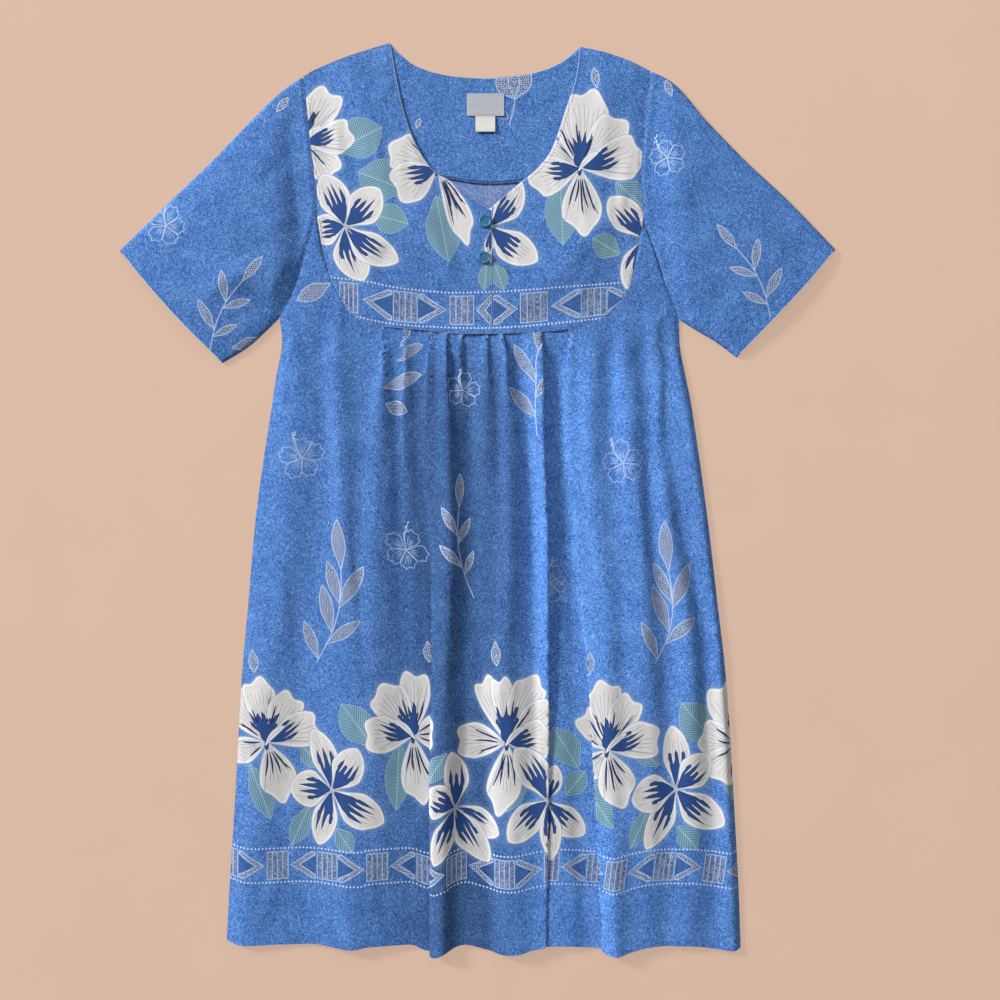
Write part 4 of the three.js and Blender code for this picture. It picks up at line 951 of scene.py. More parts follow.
# leaves: foot and tip in the picture, width, and how green
LEAVES_HEM = (
    (250, 764, 271, 820, 27, 0), (300, 744, 322, 768, 26, 0), (309, 806, 291, 846, 24, 0), (336, 828, 353, 852, 25, 0),
    (374, 746, 341, 703, 40, 0), (399, 742, 396, 811, 31, 0), (447, 752, 429, 783, 24, 0), (519, 762, 506, 812, 32, 0.3),
    (578, 768, 553, 727, 38, 0.5), (566, 795, 586, 771, 26, 0.7), (592, 770, 614, 828, 30, 0.7), (658, 766, 636, 742, 26, 0.2),
    (649, 807, 630, 849, 24, 0.2), (677, 826, 697, 849, 25, 0), (714, 743, 681, 702, 42, 0), (728, 756, 733, 801, 20, 0),
)
OUTLINES = ((302, 458, 27, 90), (406, 550, 26, 60), (463, 390, 22, 80), (623, 463, 27, 100), (550, 583, 24, 60))
BUDS = ((252, 650, 23, 11), (427, 641, 22, 11), (495, 641, 25, 11), (590, 652, 24, 11))
SPRIG = ((1.0, 2, 62), (0.67, -25, 55), (0.64, 20, 62), (0.35, -34, 60), (0.26, 28, 52), (0.07, -50, 50))
SHORT_SPRIG = ((1.0, 5, 42), (0.72, 30, 42), (0.62, -32, 36), (0.36, 32, 42), (0.28, -40, 32))
# hem border, in the flat cloth: one repeat is a left chevron, bars, a right chevron, bars
HEM_TOP, HEM_LOW, HEM_REPEAT = -423.5, -464.5, 122.6
# border of the yoke: kind, from and to in the picture
YOKE_BAND = (
    ("bars", 339, 358), ("left", 362, 392), ("bars", 393, 417.5), ("right", 418.5, 447), ("bars", 449.5, 474),
    ("left", 476, 494), ("right", 493.5, 518), ("bars", 520, 548), ("left", 551, 580), ("bars", 581, 607.5), ("right", 608.5, 634),
)
YOKE_DOTS_UP = ((300, 272), (330, 277), (364, 281), (400, 288), (461, 292.5), (495, 291.5), (530, 289.5), (570, 286.5), (613, 283), (640, 281))
YOKE_DOTS_LOW = ((320, 308), (355, 316), (395, 324), (438, 327), (475, 328), (507, 327), (555, 323), (601, 318), (640, 311))


def wavy(rows):
    p = np.array([at(*r) for r in rows])
    return cubic(p[:, 0], p[:, 1])


def hem_print(pr, place, p_left, p_right):
    """Flowers, leaves and border of the hem; place turns a spot of the picture into print
    coordinates."""
    for x0, y0, x1, y1, wide, green in LEAVES_HEM:
        (a, b), (c, d) = place(x0, y0), place(x1, y1)
        if math.hypot(c - a, d - b) < 90:
            leaf(pr, a, b, c, d, wide, green)
    for n, (x, y, way, petals) in enumerate(HIBISCUS_HEM):
        px, py = place(x, y)
        hibiscus(pr, px, py, 1.0, 0.0, petals, 20 + n, way)
    chevrons(pr, p_left, p_right, place(290, 851)[0])
    for n, (x, y, petals) in enumerate(PLUMERIA_HEM):
        px, py = place(x, y)
        plumeria(pr, px, py, petals, 40 + n)


def chevrons(pr, p_left, p_right, start):
    first = start - HEM_REPEAT * math.ceil((start - p_left) / HEM_REPEAT)
    parts = []
    for k in range(int((p_right - first) / HEM_REPEAT) + 1):
        o = first + k * HEM_REPEAT
        parts += [("left", o, o + 31.0), ("bars", o + 32.5, o + 58.5), ("right", o + 59.5, o + 92.0), ("bars", o + 94.0, o + 120.5)]
    mid = lambda x: np.full(np.shape(x), (HEM_TOP + HEM_LOW) / 2)
    half = lambda x: np.full(np.shape(x), 16.8)
    band(pr, parts, mid, half)
    dot_row(pr, p_left, p_right, lambda x: np.full(np.shape(x), HEM_TOP))
    dot_row(pr, p_left, p_right, lambda x: np.full(np.shape(x), HEM_LOW))


def skirt_print(pr):
    for n, (x, y, r, deg) in enumerate(OUTLINES):
        px, py = sk(x, y)
        outline_flower(pr, px, py, r, deg, 60 + n)
    for x, y, long, wide in BUDS:
        px, py = sk(x, y)
        speckled(pr, (px, py), math.radians(-86), long * SCALE, wide * SCALE)
    for foot, tip, flip in (((316, 663), (345, 520), -1), ((655, 663), (672, 523), -1)):
        (px, py), (qx, qy) = sk(*foot), sk(*tip)
        sprig(pr, px, py, math.hypot(qx - px, qy - py) * 0.66, math.degrees(math.atan2(qy - py, qx - px)), SPRIG, flip)
    px, py = sk(474, 598)
    sprig(pr, px, py, 112, 98, SHORT_SPRIG, 1)
    px, py = sk(537, 436)
    sprig(pr, px, py, 104, 80, ((1.0, 4, 46), (0.62, 28, 50), (0.46, -32, 32), (0.24, 40, 50)), 1, 0.34)
    for x, y, deg, long, wide in ((400, 346, 50, 32, 15), (397, 361, 38, 34, 19), (384, 388, 21, 46, 21), (385, 404, -18, 31, 18), (330, 283, 207, 46, 21)):
        px, py = sk(x, y)
        speckled(pr, (px, py), math.radians(deg), long, wide)
    hem_print(pr, sk, float(skirt_left(-444.0)) - 5, float(skirt_right(-444.0)) + 5)


def yoke_print(pr, s):
    up, low = wavy(YOKE_DOTS_UP), wavy(YOKE_DOTS_LOW)
    mid = lambda x: (up(x) + low(x)) / 2
    half = lambda x: (up(x) - low(x)) / 2 - 3.6
    parts = [(k, (a - 477.5) * SCALE, (b - 477.5) * SCALE) for k, a, b in YOKE_BAND]
    parts = [p for p in parts if (p[1] < FRONT_X - 3 if s < 0 else p[1] > 12)]
    band(pr, parts, mid, half)
    dot_row(pr, -206, 212, up)
    dot_row(pr, -206, 212, low)
    L = lambda x0, y0, x1, y1, w, g=0.0: leaf(pr, *at(x0, y0), *at(x1, y1), w, g)
    if s < 0:
        L(336, 150, 383, 127, 50)
        L(404, 190, 358, 172, 54)
        L(370, 214, 409, 224, 36, 0.8)
        L(436, 196, 449, 263, 40, 0.3)
        L(487, 262, 484, 291, 18, 0.8)
        hibiscus(pr, *at(303, 141), 1.0, 0.0, ((64, 70, 38, 1), (-46, 56, 34, 1), (4, 60, 36, 4)), 71, 1)
        hibiscus(pr, *at(437, 168), 1.0, 0.0, ((152, 62, 40, 2), (206, 58, 44, 4), (-62, 94, 31, 5)), 72, -1)
        plumeria(pr, *at(345, 226), ((108, 70, 36), (42, 62, 42), (188, 44, 36), (-84, 70, 40), (-46, 78, 36)), 73)
        plumeria(pr, *at(493, 228), ((-104, 42, 13),), 74, True)
    else:
        L(560, 176, 563, 246, 40, 0.3)
        L(616, 182, 646, 208, 36)
        L(620, 254, 592, 238, 30, 0.8)
        L(494, 262, 504, 290, 20, 0.8)
        hibiscus(pr, *at(580, 168), 1.0, 0.0, ((150, 50, 30, 2), (104, 76, 34, 2), (78, 94, 42, 2), (50, 78, 40, 2), (12, 78, 46, 4), (192, 62, 42, 4), (-88, 78, 50, 5)), 81, 1)
        plumeria(pr, *at(490, 226), ((45, 68, 34), (118, 40, 26), (180, 30, 22), (-112, 36, 24), (-46, 72, 38)), 82)
        plumeria(pr, *at(645, 238), ((128, 66, 38), (60, 40, 30), (0, 40, 30), (-60, 50, 30), (-113, 66, 30)), 83)
        speckled(pr, at(597, 88), math.radians(98), 26, 11)


def sleeve_print(pr, s):
    if s < 0:
        outline_flower(pr, *at(166, 226), 25, 70, 91)
        x, y = at(210, 350)
        sprig(pr, x, y, 92, 62, ((1.0, 4, 40), (0.66, 40, 40), (0.58, -44, 36), (0.28, 44, 42), (0.2, -50, 34)), 1)
        speckled(pr, at(276, 112), math.radians(52), 24, 10)
        speckled(pr, at(232, 348), math.radians(12), 44, 17)
    else:
        outline_flower(pr, *at(667, 158), 24, 100, 92)
        x, y = at(770, 318)
        sprig(pr, x, y, 92, 118, ((1.0, 4, 40), (0.66, 40, 40), (0.58, -44, 36), (0.28, 44, 42), (0.2, -50, 34)), -1)
        speckled(pr, at(672, 96), math.radians(110), 22, 10)


def pale_edge_and_highlight(pr, line, width, cover=0.85):
    """A thin pale line along the inside of a made edge: pale thread, with a painted highlight of the rolled edge."""
    pr.add(ribbon(spaced(line, 3.0), width), "edge", cover)


# ------------------------------------------------------------------ materials
def node(tree, kind, **values):
    n = tree.nodes.new(kind)
    for k, v in values.items():
        if k in n.inputs.keys():
            n.inputs[k].default_value = v
        else:
            setattr(n, k, v)
    return n


class Net:
    """Short hand for a shader's nodes."""

    def __init__(self, name):
        self.material = bpy.data.materials.new(name)
        self.material.use_nodes = True
        self.tree = self.material.node_tree
        self.tree.nodes.clear()
        self.out = self.tree.nodes.new("ShaderNodeOutputMaterial")
        self.bsdf = self.tree.nodes.new("ShaderNodeBsdfPrincipled")
        self.link(self.bsdf.outputs[0], self.out.inputs[0])

    def link(self, a, b):
        self.tree.links.new(a, b)

    def put(self, socket, value):
        if isinstance(value, bpy.types.NodeSocket):
            self.link(value, socket)
        else:
            socket.default_value = value

    def math(self, op, a, b=0.0, c=0.0):
        n = node(self.tree, "ShaderNodeMath", operation=op)
        for s, v in zip(n.inputs, (a, b, c)):
            self.put(s, v)
        return n.outputs[0]

    def step(self, x, low, high):
        n = node(self.tree, "ShaderNodeMapRange", interpolation_type="SMOOTHSTEP")
        for s, v in zip(n.inputs[:5], (x, low, high, 0.0, 1.0)):
            self.put(s, v)
        return n.outputs[0]

    def mixed(self, f, a, b):
        n = node(self.tree, "ShaderNodeMix", data_type="RGBA")
        self.put(n.inputs[0], f)
        for s, v in zip((n.inputs[6], n.inputs[7]), (a, b)):
            if isinstance(v, bpy.types.NodeSocket):
                self.link(v, s)
            else:
                s.default_value = (*v[:3], 1.0)
        return n.outputs[2]

    def uv(self, name, scale=1000.0):
        n = node(self.tree, "ShaderNodeUVMap", uv_map=name)
        m = node(self.tree, "ShaderNodeVectorMath", operation="SCALE")
        m.inputs[3].default_value = scale
        self.link(n.outputs[0], m.inputs[0])
        return m.outputs[0]

    def noise(self, vector, scale, detail=2.0, rough=0.5, distortion=0.0, kind="2D"):
        n = node(self.tree, "ShaderNodeTexNoise", noise_dimensions=kind)
        n.inputs["Scale"].default_value = scale
        n.inputs["Detail"].default_value = detail
        n.inputs["Roughness"].default_value = rough
        n.inputs["Distortion"].default_value = distortion
        self.link(vector, n.inputs["Vector"])
        return n.outputs["Fac"]

    def cells(self, vector, scale):
        n = node(self.tree, "ShaderNodeTexVoronoi", voronoi_dimensions="2D", feature="DISTANCE_TO_EDGE")
        n.inputs["Scale"].default_value = scale
        self.link(vector, n.inputs["Vector"])
        return n.outputs["Distance"]

    def ramp(self, fac, stops):
        n = node(self.tree, "ShaderNodeValToRGB")
        e = n.color_ramp.elements
        while len(e) > 1:
            e.remove(e[-1])
        e[0].position, e[0].color = stops[0][0], (*linear(stops[0][1]), 1)
        for p, c in stops[1:]:
            x = e.new(p)
            x.color = (*linear(c), 1)
        self.link(fac, n.inputs[0])
        return n.outputs[0]

    def greys(self, fac, stops):
        n = node(self.tree, "ShaderNodeValToRGB")
        n.color_ramp.interpolation = "EASE"
        e = n.color_ramp.elements
        while len(e) > 1:
            e.remove(e[-1])
        e[0].position, e[0].color = (stops[0][0] + 320) / 650, (*[stops[0][1] / 1.4] * 3, 1)
        for p, v in stops[1:]:
            e.new((p + 320) / 650).color = (*[v / 1.4] * 3, 1)
        self.link(fac, n.inputs[0])
        return n.outputs[0]

    def scaled(self, colour, by):
        n = node(self.tree, "ShaderNodeVectorMath", operation="SCALE")
        self.link(colour, n.inputs[0])
        self.put(n.inputs[3], by)
        return n.outputs[0]

    def parts(self, vector):
        n = node(self.tree, "ShaderNodeSeparateXYZ")
        self.link(vector, n.inputs[0])
        return n.outputs

    def colour(self, name):
        return node(self.tree, "ShaderNodeVertexColor", layer_name=name)

    def bump(self, height, distance, strength=1.0):
        n = node(self.tree, "ShaderNodeBump")
        n.inputs["Strength"].default_value = strength
        n.inputs["Distance"].default_value = distance
        self.link(height, n.inputs["Height"])
        self.link(n.outputs[0], self.bsdf.inputs["Normal"])

    def finish(self, rough, sheen=0.0, specular=0.3, coat=0.0):
        b = self.bsdf.inputs
        b["Roughness"].default_value = rough
        b["Specular IOR Level"].default_value = specular
        b["Sheen Weight"].default_value = sheen
        b["Sheen Roughness"].default_value = 0.45
        b["Coat Weight"].default_value = coat
        return self.material


def ground(n, mm, stops, contrast=1.0):
    """Fine curling scribble over a mottled blue."""
    moved = node(n.tree, "ShaderNodeVectorMath", operation="ADD")
    moved.inputs[1].default_value = (61.7, 23.1, 0)
    n.link(mm, moved.inputs[0])
    worm = lambda vector, scale, wide: n.math("SUBTRACT", 1.0, n.step(n.math("ABSOLUTE", n.math("SUBTRACT", n.noise(vector, scale, 0.6, 0.5, 1.0), 0.5)), 0.0, wide))
    fine = n.noise(mm, 1.05, 1.5, 0.6)
    cloudy = n.noise(mm, 0.03, 2.0)
    f = n.math("ADD", 0.33, n.math("MULTIPLY", n.math("SUBTRACT", fine, 0.5), 1.35 * contrast))
    f = n.math("ADD", f, n.math("MULTIPLY", worm(mm, 0.62, 0.12), 0.52 * contrast))
    f = n.math("ADD", f, n.math("MULTIPLY", worm(moved.outputs[0], 0.54, 0.10), -0.40 * contrast))
    f = n.math("ADD", f, n.math("MULTIPLY", n.math("SUBTRACT", cloudy, 0.5), 0.22 * contrast))
    return n.ramp(f, stops), fine


def weave(n, mm, fine, distance=0.00002):
    x, y, _ = n.parts(mm)
    wx = n.math("SINE", n.math("MULTIPLY", x, 11.6))
    wy = n.math("SINE", n.math("MULTIPLY", y, 12.9))
    h = n.math("ADD", n.math("MULTIPLY", wx, wy), n.math("MULTIPLY", fine, 2.2))
    n.bump(h, distance, 0.6)


BLUES = ((0.0, (24, 62, 132)), (0.25, (50, 98, 172)), (0.5, (84, 137, 214)), (0.75, (118, 171, 242)), (1.0, (160, 206, 255)))


# across the skirt in millimetres, and how the ground is painted there: values under 1 are painted shade, values over 1
# painted light, standing in for the shading of the folds
SKIRT_PAINTED_SHADE = ((-253, 1.12), (-168, 1.00), (-115, 0.84), (-82, 0.56), (-45, 0.58), (-20, 0.68), (8, 0.60), (30, 0.84),
       (55, 1.20), (88, 1.36), (165, 1.36), (235, 1.22), (300, 1.14))


def printed_material():
    n = Net("printed_cloth")
    mm, local = n.uv("Cloth"), n.uv("Motif")
    base, fine = ground(n, mm, BLUES)
    # painted shade and painted light in bands across the folded width of the skirt, below the yoke
    x, y, _ = n.parts(mm)
    painted_shade = n.greys(n.math("DIVIDE", n.math("ADD", x, 320.0), 650.0), SKIRT_PAINTED_SHADE)
    below = n.math("SUBTRACT", 1.0, n.step(y, 130.0, 215.0))
    painted_shade = n.math("ADD", 1.0, n.math("MULTIPLY", n.math("SUBTRACT", n.math("MULTIPLY", painted_shade, 1.4), 1.0), below))
    base = n.scaled(base, painted_shade)
    ink, kind = n.colour("Ink"), n.colour("Kind")
    k = n.parts(kind.outputs[0])
    base = n.mixed(n.math("MULTIPLY", kind.outputs[1], 0.30), base, linear((150, 178, 226)))
    u, v, _ = n.parts(local)
    v = n.math("ABSOLUTE", v)
    rib = n.math("PINGPONG", n.math("ADD", u, n.math("MULTIPLY", v, -1.15)), 2.05)
    rib = n.math("SUBTRACT", 1.0, n.step(rib, 0.30, 0.95))
    mid = n.math("SUBTRACT", 1.0, n.step(v, 0.40, 0.95))
    rib = n.math("MULTIPLY", n.math("MAXIMUM", rib, mid), k[0])
    colour = n.mixed(n.math("MULTIPLY", rib, 0.86), ink.outputs[0], linear((174, 206, 222)))
    net = n.math("SUBTRACT", 1.0, n.step(n.cells(mm, 0.40), 0.07, 0.19))
    speck = n.mixed(net, linear((28, 56, 112)), colour)
    colour = n.mixed(k[1], colour, speck)
    grain = n.noise(mm, 0.62, 1.2, 0.6, 1.4)
    grain = n.step(n.math("ABSOLUTE", n.math("SUBTRACT", grain, 0.5)), 0.02, 0.10)
    scribble = n.mixed(grain, colour, linear((26, 54, 110)))
    colour = n.mixed(k[2], colour, scribble)
    worn = n.math("ADD", 0.90, n.math("MULTIPLY", fine, 0.20))
    tint = node(n.tree, "ShaderNodeVectorMath", operation="SCALE")
    n.link(colour, tint.inputs[0])
    n.link(worn, tint.inputs[3])
    n.link(n.mixed(ink.outputs[1], base, tint.outputs[0]), n.bsdf.inputs["Base Color"])
    weave(n, mm, fine)
    return n.finish(0.84, 0.12, 0.22)


def wrong_side_material():
    n = Net("cloth_wrong_side")
    mm = n.uv("Cloth")
    stops = ((0.0, (62, 88, 154)), (0.3, (98, 130, 194)), (0.6, (136, 164, 218)), (1.0, (184, 204, 240)))
    base, fine = ground(n, mm, stops, 1.2)
    ink = n.colour("Ink")
    colour = n.mixed(n.math("MULTIPLY", ink.outputs[1], 0.22), base, ink.outputs[0])
    n.link(colour, n.bsdf.inputs["Base Color"])
    weave(n, mm, fine)
    return n.finish(0.88, 0.12, 0.2)


def object_mm(n):
    c = node(n.tree, "ShaderNodeTexCoord")
    m = node(n.tree, "ShaderNodeVectorMath", operation="SCALE")
    m.inputs[3].default_value = 1000.0
    n.link(c.outputs["Object"], m.inputs[0])
    return m.outputs[0]


def plain_material(name, dark, light, rough, scale=0.9, sheen=0.0, specular=0.4, coat=0.0, depth=0.00003, ribs=None):
    n = Net(name)
    mm = object_mm(n)
    a = n.noise(mm, scale, 3.0, 0.6, 0.3, "3D")
    f = a
    if ribs:
        x, y, z = n.parts(mm)
        wave = n.math("MULTIPLY", n.math("SINE", n.math("MULTIPLY", x, ribs)), n.math("SINE", n.math("MULTIPLY", y, ribs * 0.7)))
        f = n.math("ADD", a, n.math("MULTIPLY", wave, 0.12))
    n.link(n.ramp(f, ((0.25, dark), (0.75, light))), n.bsdf.inputs["Base Color"])
    n.bump(f, depth, 0.6)
    return n.finish(rough, sheen, specular, coat)


PRINTED, WRONG = printed_material(), wrong_side_material()
THREAD_BLUE = plain_material("thread_blue", (70, 104, 162), (116, 152, 208), 0.7, 2.0, 0.2)
THREAD_PALE = plain_material("thread_pale", (196, 202, 220), (232, 234, 240), 0.7, 2.0, 0.2)
THREAD_DARK = plain_material("thread_dark", (26, 40, 74), (46, 64, 108), 0.7, 2.0, 0.2)
LABEL_CLOTH = plain_material("woven_label", (166, 170, 177), (206, 210, 217), 0.75, 1.4, 0.1, 0.3, 0.0, 0.00005, 9.0)
TAB_CLOTH = plain_material("size_tab", (214, 212, 204), (240, 238, 232), 0.75, 1.4, 0.1, 0.3, 0.0, 0.00005, 9.0)
BUTTON_RESIN = plain_material("button_resin", (36, 98, 132), (66, 136, 174), 0.34, 0.30, 0.0, 0.5, 0.3, 0.00004)


# ------------------------------------------------------------------ meshes
def new_object(name, verts, faces, materials, which=None, smooth_faces=True, normals=None):
    me = bpy.data.meshes.new(name)
    verts, faces = np.asarray(verts, float) * MM, np.asarray(faces, np.int64)
    me.vertices.add(len(verts))
    me.vertices.foreach_set("co", verts.astype(np.float32).ravel())
    n = faces.shape[1]
    me.loops.add(len(faces) * n)
    me.loops.foreach_set("vertex_index", faces.astype(np.int32).ravel())
    me.polygons.add(len(faces))
    me.polygons.foreach_set("loop_start", np.arange(0, len(faces) * n, n, dtype=np.int32))
    for m in materials:
        me.materials.append(m)
    if which is not None:
        me.polygons.foreach_set("material_index", np.asarray(which, np.int32))
    me.polygons.foreach_set("use_smooth", np.full(len(faces), smooth_faces, bool))
    me.update(calc_edges=True)
    me.validate(verbose=False, clean_customdata=False)
    ob = bpy.data.objects.new(name, me)
    bpy.context.scene.collection.objects.link(ob)
    return ob


def set_uv(me, name, uv):
    layer = me.uv_layers.new(name=name)
    layer.data.foreach_set("uv", np.asarray(uv, np.float32).ravel())
    return layer


def set_colour(me, name, rgba):
    layer = me.color_attributes.new(name=name, type="FLOAT_COLOR", domain="CORNER")
    layer.data.foreach_set("color", np.asarray(rgba, np.float32).ravel())


class Patch:
    """A triangulated, printed stretch of cloth and where it lies."""

    def __init__(self, outline, pr, lift, free, down=False, step=(0.8, 1.2)):
        self.pr = pr
        self.plan, self.tris, self.item = sheet_mesh(outline, pr, free)
        self.xyz = lift(self.plan)
        e, g = step
        px = lift(self.plan + (e, 0)) - lift(self.plan - (e, 0))
        py = lift(self.plan + (0, g)) - lift(self.plan - (0, g))
        n = np.cross(px, py)
        n /= np.linalg.norm(n, axis=1)[:, None] + 1e-12
        if down:
            n = -np.abs(n)
            n[:, :2] = 0
            n /= np.linalg.norm(n, axis=1)[:, None] + 1e-12
            self.tris = self.tris[:, ::-1]
        self.normal = n
        self.halo = halo_field(self.plan, pr)

    def corners(self):
        """Ink, kind, motif and cloth coordinates on the corners of every triangle."""
        m = len(self.tris)
        ink = np.zeros((m, 3, 4))
        kind = np.zeros((m, 3, 4))
        motif = np.zeros((m, 3, 2))
        q = self.plan[self.tris]
        kind[..., 3] = self.halo[self.tris]
        for i in np.unique(self.item):
            if i < 0:
                continue
            sel = self.item == i
            it = self.pr.items[i]
            ink[sel, :, :3] = it["ink"]
            ink[sel, :, 3] = it["cover"]
            if it["fade"]:
                cx, cy, r, other, amount = it["fade"]
                f = amount * np.exp(-(np.hypot(q[sel][..., 0] - cx, q[sel][..., 1] - cy) / r) ** 2)
                ink[sel, :, :3] = ink[sel][..., :3] * (1 - f[..., None]) + INKS[other] * f[..., None]
            if it["mode"]:
                kind[sel, :, it["mode"] - 1] = 1.0
                x0, y0, a = it["frame"]
                dx, dy = q[sel][..., 0] - x0, q[sel][..., 1] - y0
                motif[sel, :, 0] = dx * math.cos(a) + dy * math.sin(a)
                motif[sel, :, 1] = -dx * math.sin(a) + dy * math.cos(a)
        return ink, kind, motif * MM, q * MM


def cloth(name, patches, thick, joins=(), materials=None, nodes=(), extra=0.0):
    """One closed shell of cloth: the outer face, the inner face and the rim."""
    V, N, F, ink, kind, motif, flat, isle = [], [], [], [], [], [], [], []
    base = 0
    for k, p in enumerate(patches):
        V.append(p.xyz)
        N.append(p.normal)
        F.append(p.tris + base)
        a, b, c, d = p.corners()
        ink.append(a); kind.append(b); motif.append(c); flat.append(d)
        isle.append(np.full(len(p.tris), k))
        base += len(p.xyz)
    V, N, F = np.vstack(V), np.vstack(N), np.vstack(F)
    ink, kind, motif, flat, isle = (np.concatenate(x) for x in (ink, kind, motif, flat, isle))
    if len(joins):
        jv, jn, jf, jflat = joins
        F2 = jf.copy()
        V, N = np.vstack([V, jv]), np.vstack([N, jn])
        m = len(F2)
        F = np.vstack([F, F2])
        ink = np.concatenate([ink, np.zeros((m, 3, 4))])
        kind = np.concatenate([kind, np.zeros((m, 3, 4))])
        motif = np.concatenate([motif, np.zeros((m, 3, 2))])
        flat = np.concatenate([flat, jflat])
        isle = np.concatenate([isle, np.full(m, len(patches))])
    n, m = len(V), len(F)
    t = np.broadcast_to(np.asarray(thick(V) if callable(thick) else thick, float), (n,))
    inner = V - N * t[:, None]
    e = np.vstack([F[:, [0, 1]], F[:, [1, 2]], F[:, [2, 0]]])
    code, back = e[:, 0] * n + e[:, 1], e[:, 1] * n + e[:, 0]
    edge = e[~np.isin(code, back)]
    rim = np.vstack([np.stack([edge[:, 1], edge[:, 0], edge[:, 0] + n], -1), np.stack([edge[:, 1], edge[:, 0] + n, edge[:, 1] + n], -1)])
    faces = np.vstack([F, F[:, ::-1] + n, rim])
    allv, alln = np.vstack([V, inner]), np.vstack([N, -N])
    which = np.concatenate([np.zeros(m, int), np.ones(m, int), np.zeros(len(rim), int)])
    ob = new_object(name, allv, faces, materials or [PRINTED, WRONG], which)
    me = ob.data
    r = len(rim)
    where = lambda idx: np.zeros((len(idx), 3, 4))
    vert_flat = np.zeros((n, 2))
    vert_flat[F.ravel()] = flat.reshape(-1, 2)
    rim_flat = vert_flat[rim % n]
    back3 = lambda a: a[:, ::-1]
    # bake layout: outer islands on the left, inner ones on the right, rim along the foot
    count = isle.max() + 1
    uv_out, uv_in = np.zeros((m, 3, 2)), np.zeros((m, 3, 2))
    for k in range(count):
        sel = isle == k
        if not sel.any():
            continue
        low, high = flat[sel].reshape(-1, 2).min(0), flat[sel].reshape(-1, 2).max(0)
        size = (high - low).max()
        cols = 2 if count > 1 else 1
        w = 0.66 / 1 if count == 1 else 0.47
        ox, oy = (0.01, 0.03) if count == 1 else (0.01, 0.02 + 0.49 * min(k, 1))
        if k == 2:
            ox, oy, w = 0.98, 0.02, 0.015
        span_y = 0.96 if count == 1 else 0.47
        s = min(w / (high[0] - low[0] + 1e-9), span_y / (high[1] - low[1] + 1e-9))
        uv_out[sel] = (flat[sel] - low) * s + (ox, oy)
        w2 = 0.31 if count == 1 else 0.47
        s2 = min(w2 / (high[0] - low[0] + 1e-9), 0.44 / (high[1] - low[1] + 1e-9))
        ox2 = 0.685 if count == 1 else 0.50
        if k == 2:
            s2, ox2 = s * 0.5, 0.996
        uv_in[sel] = (flat[sel] - low) * s2 + (ox2, oy)
    run = np.linspace(0.01, 0.97, len(edge) + 1)
    h = 0.004
    ra = np.stack([np.stack([run[1:], np.full(len(edge), 0.002)], -1), np.stack([run[:-1], np.full(len(edge), 0.002)], -1), np.stack([run[:-1], np.full(len(edge), 0.002 + h)], -1)], 1)
    rb = np.stack([np.stack([run[1:], np.full(len(edge), 0.002)], -1), np.stack([run[:-1], np.full(len(edge), 0.002 + h)], -1), np.stack([run[1:], np.full(len(edge), 0.002 + h)], -1)], 1)
    set_uv(me, "OFBake", np.concatenate([uv_out, back3(uv_in), ra, rb]))
    set_uv(me, "Cloth", np.concatenate([flat, back3(flat), rim_flat]))
    set_uv(me, "Motif", np.concatenate([motif, back3(motif), np.zeros((r, 3, 2))]))
    set_colour(me, "Ink", np.concatenate([ink, back3(ink), np.zeros((r, 3, 4))]))
    set_colour(me, "Kind", np.concatenate([kind, back3(kind), np.zeros((r, 3, 4))]))
    me.normals_split_custom_set_from_vertices(alln.tolist())
    if nodes:
        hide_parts(*nodes)
    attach(ob, "root")
    print("cloth", name, "triangles", len(faces), flush=True)
    return ob


def flat_area(patches):
    return sum(0.5 * np.abs(np.cross(p.plan[p.tris[:, 1]] - p.plan[p.tris[:, 0]], p.plan[p.tris[:, 2]] - p.plan[p.tris[:, 0]])).sum() for p in patches) * MM * MM


def loose(name, material, verts, faces):
    ob = new_object(name, verts, faces, [material])
    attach(ob, "root")
    return ob


def threads(name, a, b, up, radius, material, bow=0.35):
    """Short stitches from a to b, thin in the middle of the cloth and proud of it."""
    a, b, up = (np.asarray(x, float) for x in (a, b, up))
    n = len(a)
    ts, rs = np.array([0.0, 0.16, 0.5, 0.84, 1.0]), np.array([0.35, 0.9, 1.0, 0.9, 0.35]) * radius
    k = 6
    along = b - a
    length = np.linalg.norm(along, axis=1)[:, None] + 1e-9
    d = along / length
    across_ = np.cross(d, up)
    across_ /= np.linalg.norm(across_, axis=1)[:, None] + 1e-9
    verts = np.zeros((n, 5, k, 3))
    for i, (t, r) in enumerate(zip(ts, rs)):
        c = a + along * t + up * (radius * (bow + 1.1 * math.sin(math.pi * t)) - 0.25 * radius)
        for j in range(k):
            an = 2 * math.pi * j / k
            verts[:, i, j] = c + across_ * (r * math.cos(an)) + up * (r * 0.8 * math.sin(an))
    faces = []
    for i in range(4):
        for j in range(k):
            p, q = i * k + j, i * k + (j + 1) % k
            faces += [(p, q, q + k), (p, q + k, p + k)]
    for j in range(1, k - 1):
        faces += [(0, j + 1, j), (4 * k, 4 * k + j, 4 * k + j + 1)]
    faces = np.array(faces)
    allf = (faces[None] + (np.arange(n) * 5 * k)[:, None, None]).reshape(-1, 3)
    ob = loose(name, material, verts.reshape(-1, 3), allf[:, ::-1])
    print("threads", name, n, flush=True)
    return ob


def closed(*runs, step=3.0):
    """A counter-clockwise outline from runs of points laid end to end."""
    p = np.vstack([np.asarray(r, float).reshape(-1, 2) for r in runs])
    p = p[np.hypot(*(p - np.roll(p, 1, 0)).T) > 0.08]
    p = spaced(p, step, True)
    area = np.sum(p[:, 0] * np.roll(p[:, 1], -1) - p[:, 1] * np.roll(p[:, 0], -1))
    return p if area > 0 else p[::-1]


def along(points, n):
    return path(points)(np.linspace(0, 1, n))


def printed(*makers):
    pr = Print()
    for make in makers:
        make(pr)
    return pr


